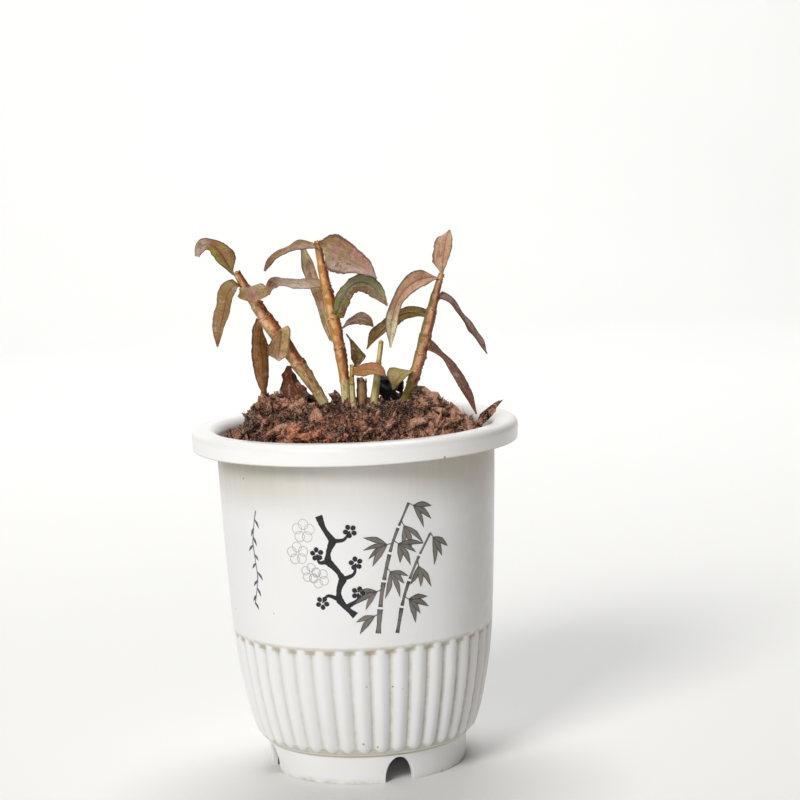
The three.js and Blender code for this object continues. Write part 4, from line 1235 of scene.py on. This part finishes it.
def stem_finish(name, body, sheen, left, right, joint, foot, foot_pale, foot_height, base, dullness=0.42):
    """Dry sheath: lengthwise fibres, ochre in front, with painted shade in olive at the left and in rust at
    the right, patches of a painted pale sheen, a dark ring under each mouth, a pale lip to each sheath, a
    pale foot to each sheath with a painted glint, and a bleached fibrous foot to the stem. Heights are in
    tenths of a metre up the stem."""
    stuff = Finish(name, Specular_IOR_Level=0.45)
    facing_x, facing_y, height = stuff.parts(stuff.drawn("stem"))
    share = stuff.parts(stuff.drawn("sheath"))[0]
    spot = stuff.place()
    unrolled = (facing_x * 0.0026, facing_y * 0.0026, height * 0.012)
    lengthwise = stuff.node("ShaderNodeCombineXYZ", None, *unrolled)
    fibre = stuff.grain(lengthwise, 0.42, 4, 0.7)
    cloud = stuff.grain(spot, 3.2, 3, 0.6)
    speck = stuff.grain(spot, 0.7, 3, 0.7)
    # The left and right colours go on the flanks as painted shade
    sideways = facing_x + (cloud - 0.5) * 1.8
    # A painted sheen on the side that faces front and left
    painted_sheen = (facing_x + 0.2).size().rise(0.7, 0.15) * facing_y.rise(0.2, -0.4) * cloud.rise(0.4, 0.56)
    rust = stuff.grain(spot, 4.5, 3, 0.6).rise(0.52, 0.6) * (facing_x + 0.6).rise(0.0, 1.0)
    low_down = (height + (cloud - 0.5) * 0.04).rise(0.1, 0.05) * fibre.rise(0.36, 0.46)
    bleached = (height + (cloud - 0.5) * 0.03).rise(foot_height + 0.012, foot_height - 0.008)
    under_mouth = share.band(0.86, 0.93, 0.95, 0.985) * cloud.rise(0.36, 0.6)
    # Each sheath's pale foot, with a painted glint on its swelling
    sheath_foot_and_glint = share.rise(0.07, 0.02) * cloud.rise(0.35, 0.6)
    colour = stuff.layered(
        body, (sideways.rise(-0.15, -0.7), left), (sideways.rise(0.2, 0.75), right), (painted_sheen * 0.85, sheen),
        (rust * 0.45, joint), (fibre.rise(0.46, 0.34) * 0.5, "5e2f14"),
        (fibre.rise(0.56, 0.68) * 0.35, "ecc392"),
        (bleached, stuff.layered(foot, (fibre.rise(0.4, 0.6), foot_pale), (low_down * 0.85, base))),
        (under_mouth * 0.8, joint), (share.rise(0.96, 0.99) * 0.7, "dcb988"),
        (sheath_foot_and_glint * 0.7, "e2c88c"), (speck.rise(0.6, 0.68) * 0.5, "6b3a20"),
    )
    return stuff.paint(colour, cloud * 0.3 + (dullness - 0.15), fibre * 0.8 + cloud * 0.2, 0.3)


lines = {name: Stem(**sizes) for name, sizes in stems.items()}
cane_looks = {
    "cane_left": stem_finish(
        "left cane sheath", body="c6834f", sheen="f4c8a0", left="9c7e40", right="8c4a24", joint="6a3018",
        foot="8a5a34", foot_pale="d2b07c", foot_height=0.22, base="ded098"),
    "cane_centre": stem_finish(
        "centre cane sheath", body="d08844", sheen="f8c48e", left="bc8a42", right="90481e",
        joint="642810", foot="a4884c", foot_pale="f8e6b4", foot_height=0.115, base="efdca2"),
    "cane_right": stem_finish(
        "right cane sheath", body="c88658", sheen="f6c29a", left="94863c", right="8c4a28", joint="662a12",
        foot="8c7430", foot_pale="b4a84c", foot_height=0.1, base="bcb05c"),
}
BARE_FOOT = {"cane_left": 4, "cane_centre": 11.4, "cane_right": 9}
for seed, (name, bare) in enumerate(BARE_FOOT.items()):
    stem = lines[name]
    parts = [core_mesh(stem, seed)]
    marks = [bare, *(node for node in stem.nodes if node > bare + 2), stem.length - 0.8]
    for k, (low, high) in enumerate(zip(marks, marks[1:])):
        torn = 0.25 if k == len(marks) - 2 else 0.8
        parts.append(sheath_mesh(stem, low - 0.5, high + 0.4, 10 * seed + k, torn, 0.2, 0.9))
    add_piece(name.replace("cane_", "") + "_cane", joined(name, parts), cane_looks[name], "cane", name)

shoot_looks = {
    "shoot_front": stem_finish(
        "front shoot", body="c0a848", sheen="f0dc78", left="a3963c", right="b48638", joint="8a6a34",
        foot="c8b05c", foot_pale="f8e8b4", foot_height=0.1, base="f4e4ac", dullness=0.4),
    "shoot_right": stem_finish(
        "right shoot", body="dcc06c", sheen="f8e8a4", left="b8b058", right="c08444", joint="7e6a38",
        foot="bcaa54", foot_pale="f4e6a4", foot_height=0.17, base="e8da92", dullness=0.4),
}
for name, look in shoot_looks.items():
    stem = lines[name]
    parts = [core_mesh(stem, 7, 0.1)]
    marks = [0, *stem.nodes, stem.length - 0.6]
    for k, (low, high) in enumerate(zip(marks, marks[1:])):
        parts.append(sheath_mesh(stem, low, high, 70 + k, 0.4, 0.12, 0))
    add_piece(name.replace("shoot_", "") + "_shoot", joined(name, parts), look, "shoot", name)

stump = lines["stump"]
dry_stuff = stem_finish(
    "dry stump", body="a37c58", sheen="c09c78", left="7a5c42", right="8f6a4c", joint="3b2618",
    foot="5e4a38", foot_pale="94775a", foot_height=-0.3, base="6b5540", dullness=0.85)
stump_parts = [core_mesh(stump, 3, 0.3), sheath_mesh(stump, 0, 10.8, 91, 1.4, 0.25)]
add_piece("cut_stump", joined("stump", stump_parts), dry_stuff, "stump", "stump")


# Leaves
# Long blades in two ranks, dull green turned brown and mauve by sun and drought. Each is a thin channelled
# sheet with a creased midrib, veins and a slightly torn and waved margin, and its foot grips the sheath.
BLADE_ROWS = 60
ROOT_ROWS = 4
ROOT_DROP = np.array([0, 0, 1.2])
BLADE_COLUMNS = np.linspace(-1, 1, 15)
BLADE_THICKNESS = 0.5
NARROWEST_BLADE = 0.3
CAD_THICKNESS = 0.8
LEAF_FOLD = math.radians(15)
MARGIN_WAVES = 3


def turned_about(vector, axis, angle):
    """The vector turned by an angle about a unit vector"""
    return (vector * math.cos(angle) + np.cross(axis, vector) * math.sin(angle)
            + axis * np.dot(axis, vector) * (1 - math.cos(angle)))


def smooth_run(values, share):
    """A smooth run through evenly spaced values"""
    place = share * (len(values) - 1)
    first = min(int(place), len(values) - 2)
    around = (values[min(max(first + k, 0), len(values) - 1)] for k in (-1, 0, 1, 2))
    return curve(*around, place - first)


def blade_mesh(stem, seed, start, heading, rise, droop, length, right, left, bend=(0, 1), sweep=0, roll=0,
               twist=0, off=0, wave=0.25, torn=0.06):
    """A blade on a line that leaves the stem at a rise and droops over a part of its length. Angles are in
    degrees: a heading of 0 is to the right, 90 to the back. Right and left are the midrib's distances to the
    margins, at even steps from the leaf's foot to its tip."""
    out = pointing(math.radians(heading))
    reach = stem.radius(start) * 1.02 + PART_GAP + CAD_THICKNESS / 2 + off
    at = stem.place(start) + out * reach

    def forward_at(u):
        elevation = math.radians(rise - droop * softstep(u, *bend))
        return pointing(math.radians(heading + sweep * u), elevation)

    rows, marks = [], []
    for k in range(-ROOT_ROWS, BLADE_ROWS + 1):
        u = max(k, 0) / BLADE_ROWS
        root = max(-k, 0) / ROOT_ROWS
        forward = forward_at(u)
        azimuth = math.radians(heading + sweep * u)
        flat = np.array([math.sin(azimuth), -math.cos(azimuth), 0])
        side = turned_about(flat, forward, -math.radians(roll + twist * u))
        over = np.cross(side, forward)
        if k > 0:
            at = at + forward_at(u - 0.5 / BLADE_ROWS) * length / BLADE_ROWS
        middle = at - out * (reach * 0.75) * root - ROOT_DROP * root
        face, back = [], []
        for t in BLADE_COLUMNS:
            half = max(NARROWEST_BLADE, smooth_run(right if t > 0 else left, u)) * (1 - 0.3 * root)
            ragged = lumpy(seed * 3.1, u * length / 2.2, 4.0 if t > 0 else 0.0)
            fray = lumpy(seed * 1.7, u * length / 0.7, 8.0 if t > 0 else 2.0)
            broad = half * (1 + abs(t) ** 4 * torn * (ragged * 1.4 + fray) * softstep(u, 0.02, 0.2))
            lift = half * abs(t) ** 1.3 * math.sin(LEAF_FOLD)
            ripple = math.sin(2 * math.pi * MARGIN_WAVES * u + (1.9 if t > 0 else 0) + seed)
            lift += wave * abs(t) ** 2.2 * ripple * softstep(u, 0.05, 0.3)
            lift += 0.35 * lumpy(seed * 5.3, u * length / 6, t * 1.2)
            vein = 0.035 * math.cos(6.5 * math.pi * t) - 0.16 * math.exp(-(t / 0.07) ** 2)
            here = middle + side * (t * broad * math.cos(LEAF_FOLD)) + over * lift
            thin = BLADE_THICKNESS / 2 * (1 - 0.55 * abs(t) ** 3)
            keel = 0.3 * math.exp(-(t / 0.1) ** 2) * (1 - 0.7 * u)
            face.append(here + over * (thin + vein))
            back.append(here - over * (thin + keel))
        rows.append(face + back[::-1])
        marks.append([(t, u, 0) for t in BLADE_COLUMNS] + [(t, u, 1) for t in BLADE_COLUMNS[::-1]])
    mesh = mesh_of("blade", rows)
    mark(mesh, "blade", marks)
    return mesh


def leaf_finish(name, foot, body, tip, rib, margin, left, right, blotch, tip_from=0.85, ribbed=0.8,
                greened=0.3):
    """A drying leaf: its colour runs from foot to tip, with a tint of its own on either side of the midrib,
    stripes along it, crisp cloudy blotches, greener and paler patches, a browned margin, and a speckle"""
    stuff = Finish(name, Specular_IOR_Level=0.25)
    across, on, face = stuff.parts(stuff.drawn("blade"))
    spot = stuff.place()
    cloud = stuff.grain(spot, 3.2, 4, 0.65)
    other = stuff.grain(stuff.stretched(spot, 1.3, 0.8, 1.1), 4.5, 3, 0.6)
    fine = stuff.grain(spot, 0.75, 4, 0.7)
    lengthwise = stuff.node("ShaderNodeCombineXYZ", None, across * 0.012, on * 0.012, face * 0.003)
    streak = stuff.grain(lengthwise, 2.2, 3, 0.6)
    full = min(tip_from + 0.1, 1.0)
    inner = on.rise(full, tip_from - 0.15) * 0.85
    sideways = across + (cloud - 0.5) * 0.9
    veins = (across * 28.0).wave().rise(0.5, 1.0)
    midrib = across.size().rise(0.13, 0.03) * on.rise(1.0, 0.7)
    edge = (across.size() + (fine - 0.5) * 0.35).rise(0.76, 0.95)
    lengths = [(0.0, foot), (0.22, body), (tip_from - 0.06, body), (full, tip)]
    colour = stuff.layered(
        stuff.ramp(on + (cloud - 0.5) * 0.22, *lengths), (sideways.rise(-0.1, -0.55) * inner, left),
        (sideways.rise(0.1, 0.55) * inner, right),
        ((cloud * 0.6 + streak * 0.4).rise(0.5, 0.57) * 0.75, blotch),
        (other.rise(0.52, 0.6) * on.rise(1.0, 0.5) * greened, "8a9034"),
        (other.rise(0.45, 0.37) * streak.rise(0.4, 0.55) * 0.4, "cdb8a8"),
        (veins * 0.25, rib), (midrib * ribbed, rib), (edge * 0.9, margin),
        (fine.rise(0.44, 0.36) * 0.5, "2c1a12"), (fine.rise(0.58, 0.66) * 0.35, "dcbca4"),
    )
    return stuff.paint(colour, fine * 0.3 + 0.4, fine * 0.4 + streak * 0.6, 0.25)


# Each leaf: its slot, its stem, its shape and its colours
leaves = {
    # Left cane, from the top down
    "left_top": (
        "leaf_olive", "cane_left",
        dict(start=70, heading=141, rise=51, droop=128, bend=(0.34, 1.1), length=27, roll=15, twist=95,
             right=(0.4, 4.8, 4.5, 2.5, 3, 1), left=(1.8, 3.2, 3.4, 2.6, 2.7, 1)),
        dict(foot="9c8045", body="916738", tip="bca499", rib="5f3528", margin="4e341e",
             left="8d8037", right="986f40", blotch="775629", tip_from=0.66, greened=0.5),
    ),
    "left_hanging": (
        "leaf_olive", "cane_left",
        dict(start=63.7, heading=-131, rise=-2, droop=68, bend=(0.04, 0.36), length=31, roll=17, twist=-4,
             right=(4.8, 4.6, 4, 4.1, 3.3, 0.3), left=(0.3, 3.1, 3.3, 2.9, 1.4, 0.8)),
        dict(foot="967a48", body="8d683f", tip="815231", rib="7b4434", margin="75552f",
             left="83733f", right="957542", blotch="97714c", tip_from=0.84),
    ),
    "left_short": (
        "leaf_tan", "cane_left",
        dict(start=62.5, heading=-70, rise=3, droop=72, bend=(0.05, 0.9), length=11, twist=-16,
             right=(2, 3.5, 5.1, 5.9, 5.9, 0.8), left=(1.4, 3.8, 5.9, 7, 6.9, 1.3)),
        dict(foot="a98359", body="a9836b", tip="b38d68", rib="8a5f58", margin="9a6430",
             left="988557", right="b1914d", blotch="8c6755", ribbed=0.4, greened=0.5),
    ),
    "left_front": (
        "leaf_tan", "cane_left",
        dict(start=40.8, heading=-63, rise=14, droop=124, bend=(0.13, 0.23), length=17, roll=-10, twist=-16,
             right=(0.3, 1.1, 4.4, 5.6, 5, 0.4), left=(3.1, 3.8, 3.9, 4, 3.9, 0.7), torn=0.1),
        dict(foot="b1906c", body="c29770", tip="d5b9a5", rib="80603f", margin="7f5c36",
             left="cea575", right="b68d6c", blotch="9d7c5d"),
    ),
    "left_brown": (
        "leaf_brown", "cane_left",
        dict(start=46, heading=111, rise=-35, droop=60, bend=(0.15, 0.3), length=37,
             right=(0.3, 1.3, 4, 3.6, 2.8, 0.4), left=(3.4, 3, 3.9, 3.9, 2.7, 0.3)),
        dict(foot="b18938", body="9c6b3b", tip="895634", rib="4e2c1c", margin="54381f",
             left="a97641", right="8f5936", blotch="794b24", ribbed=0.3, greened=0.15),
    ),
    "left_dead": (
        "leaf_dead", "cane_left",
        dict(start=22.4, heading=156, rise=-80, droop=67, bend=(0, 0.8), length=18, sweep=-61, roll=-7,
             right=(0.3, 2.8, 4.5, 5.2, 5.2, 2.4), left=(2.4, 3.9, 4.8, 5.7, 4.5, 1), off=0.3, torn=0.12,
             wave=0.5),
        dict(foot="7c4e31", body="4e2b1f", tip="6e412e", rib="a05a34", margin="2a1710",
             left="6e3e27", right="341d15", blotch="95522f", ribbed=0.45, greened=0),
    ),
    # Centre cane
    "centre_broad": (
        "leaf_tan", "cane_centre",
        dict(start=70, heading=-49, rise=-12, droop=21, bend=(-0.1, 1.16), length=35, sweep=6, roll=-107,
             twist=81, right=(0.3, 7.9, 8.4, 7.1, 3.5, 0.3), left=(2.6, 7.3, 7.1, 5.2, 3.8, 0.5)),
        dict(foot="9ba044", body="ad897c", tip="ada2aa", rib="7c644c", margin="6a4240",
             left="a97862", right="c1a89a", blotch="8b5c4d", tip_from=0.93, ribbed=0.3, greened=0.45),
    ),
    "centre_left": (
        "leaf_tan", "cane_centre",
        dict(start=71.2, heading=192, rise=-2, droop=82, bend=(-0.05, 1.55), length=25, roll=40,
             right=(0.3, 2.6, 1.5, 1.6, 2.2, 0.6), left=(4.5, 3.7, 2.8, 2.1, 1.3, 0.3)),
        dict(foot="c4ab5b", body="ab7e64", tip="785332", rib="a58258", margin="54362e",
             left="927462", right="886b5d", blotch="805e45", tip_from=0.66, greened=0.4),
    ),
    "centre_pale": (
        "leaf_tan", "cane_centre",
        dict(start=52.6, heading=-162, rise=10, droop=95, bend=(0.67, 0.95), length=26.5, roll=33, twist=48,
             right=(4.2, 3.2, 2.4, 1.8, 2.2, 0.3), left=(0.3, 2.7, 3.1, 1.9, 2.9, 0.4)),
        dict(foot="cdaa7f", body="ceb8a4", tip="734e3c", rib="a88c76", margin="927260",
             left="d9c3b2", right="baa08d", blotch="a68a77", tip_from=0.68, greened=0.15),
    ),
    "centre_upright": (
        "leaf_grey_green", "cane_centre",
        dict(start=29, heading=140, rise=69, droop=-4, length=42, roll=31, twist=-6,
             right=(0.3, 1, 1.8, 2.7, 2.3, 0.9), left=(1.1, 2.1, 1.7, 2.7, 3.6, 1.6), off=0.5),
        dict(foot="c19d7f", body="e4bb9e", tip="c5c088", rib="8a8a60", margin="785c42",
             left="dcc2a9", right="e6bb99", blotch="a07b5f", tip_from=0.84, greened=0.5),
    ),
    "centre_arching": (
        "leaf_grey_green", "cane_centre",
        dict(start=41, heading=-55, rise=54, droop=111, bend=(0.24, 0.9), length=36.7, sweep=43, roll=-134,
             twist=71, right=(3.7, 3.6, 3.5, 4.1, 3.7, 0.5), left=(1.9, 3.4, 2.7, 3.8, 3.1, 0.3), off=0.4,
             torn=0.1),
        dict(foot="76791a", body="878162", tip="9f896b", rib="5c5040", margin="5a3c28",
             left="888867", right="6e441f", blotch="7f675c", tip_from=0.82, greened=0.5),
    ),
    "centre_small": (
        "leaf_brown", "cane_centre",
        dict(start=34.6, heading=-12, rise=33, droop=106, bend=(0.16, 1.2), length=15.5, roll=-53, twist=-8,
             right=(0.8, 1.3, 2.8, 3.2, 2.5, 0.3), left=(0.3, 1.6, 2, 3, 1.7, 0.3)),
        dict(foot="76683f", body="765a49", tip="7e4f23", rib="a88478", margin="7a4426",
             left="846c5f", right="664a39", blotch="542f2f", tip_from=0.72, greened=0.2),
    ),
    # Leaves of the young shoots
    "shoot_green": (
        "leaf_green", "shoot_front",
        dict(start=18.8, heading=-8, rise=94, droop=-26, length=14, roll=-104,
             right=(1.5, 4.1, 2.8, 1.6, 0.7, 0.3), left=(1.3, 2.2, 1.9, 1, 0.3, 0.3), off=0.4, wave=0.15),
        dict(foot="6b4e15", body="614719", tip="755d3d", rib="454a1e", margin="4b3422",
             left="633f1f", right="69521d", blotch="4b3112"),
    ),
    "shoot_pink": (
        "leaf_brown", "shoot_front",
        dict(start=15.7, heading=-48, rise=15, droop=38, bend=(0, 1.1), length=20, roll=-60, twist=13,
             right=(1.6, 3.1, 3.7, 2.8, 1.4, 0.5), left=(1.8, 2.6, 2.9, 3.6, 2.9, 0.3), off=0.1, wave=0.2),
        dict(foot="9e7d34", body="af774f", tip="875e49", rib="9a7048", margin="7e4a32",
             left="b57156", right="a27946", blotch="bc8861", tip_from=0.8, greened=0.3),
    ),
    # Right cane
    "right_top": (
        "leaf_tan", "cane_right",
        dict(start=58.5, heading=73, rise=74, droop=44, bend=(0.05, 0.9), length=23, roll=3, twist=-13,
             right=(0.3, 2.3, 3.3, 3.2, 2.1, 0.5), left=(1.3, 4.5, 4.7, 4.7, 2.3, 0.3), torn=0.09),
        dict(foot="e6b99f", body="c4977f", tip="c0a077", rib="945c4a", margin="6e4c36",
             left="cfa68a", right="c09b73", blotch="a17a66", greened=0.15),
    ),
    "right_arching": (
        "leaf_tan", "cane_right",
        dict(start=56.5, heading=-142, rise=9, droop=96, bend=(-0.1, 1), length=46, sweep=9, roll=58,
             twist=10, right=(0.3, 4.2, 3.4, 2.8, 3.2, 0.3), left=(1, 3.6, 3.4, 2.3, 2.6, 0.3)),
        dict(foot="cca56f", body="ddab8d", tip="ebe0b5", rib="8f6650", margin="5c3c2a",
             left="ddb297", right="dbac8f", blotch="b58775", tip_from=0.66, greened=0.35),
    ),
    "right_narrow": (
        "leaf_olive", "cane_right",
        dict(start=39, heading=141, rise=24, droop=65, bend=(-0.1, 0.6), length=38, roll=68, twist=35,
             right=(3.3, 3, 2.2, 3.4, 3.9, 0.3), left=(0.3, 2.6, 3.6, 1.9, 0.6, 0.3)),
        dict(foot="c4b858", body="bc935f", tip="b0965f", rib="3c2a1c", margin="5a4028",
             left="b99858", right="93764a", blotch="826741"),
    ),
    "right_upper": (
        "leaf_brown", "cane_right",
        dict(start=47.4, heading=0, rise=-15, droop=43, bend=(-0.05, 0.3), length=32, roll=-20, twist=-23,
             right=(3.8, 2.8, 2.5, 2.4, 1.2, 0.3), left=(4.1, 2.4, 2.1, 2.8, 2.4, 0.3)),
        dict(foot="a3725d", body="936d5e", tip="866f69", rib="9a766a", margin="452c22",
             left="977c79", right="926d67", blotch="66463f", greened=0.1),
    ),
    "right_lower": (
        "leaf_brown", "cane_right",
        dict(start=24.5, heading=-37, rise=-11, droop=51, bend=(0, 0.55), length=37.7, roll=-71, twist=11,
             right=(0.3, 1.1, 2.3, 2, 1.1, 0.4), left=(4.8, 1.4, 1.6, 2.4, 2.3, 0.3)),
        dict(foot="80553e", body="6b4331", tip="65473b", rib="946c5c", margin="402820",
             left="674439", right="724d40", blotch="482a1e", greened=0.1),
    ),
    "right_folded": (
        "leaf_olive", "cane_right",
        dict(start=15, heading=-136, rise=-4, droop=54, bend=(0.07, 0.95), length=14, roll=7,
             right=(0.9, 4.1, 7, 5.7, 2.7, 0.3), left=(1.1, 3.5, 5, 4.3, 2.8, 0.6)),
        dict(foot="927b3f", body="a48e4f", tip="a89760", rib="7c6a34", margin="6e5628",
             left="ae9353", right="9d8a51", blotch="886934", greened=0.6),
    ),
}
for seed, (name, (slot, stem_name, shape, colours)) in enumerate(leaves.items()):
    blade = blade_mesh(lines[stem_name], seed, **shape)
    look = leaf_finish(name.replace("_", " ") + " leaf", **colours)
    add_piece(name + "_blade", blade, look, slot, name + "_leaf")
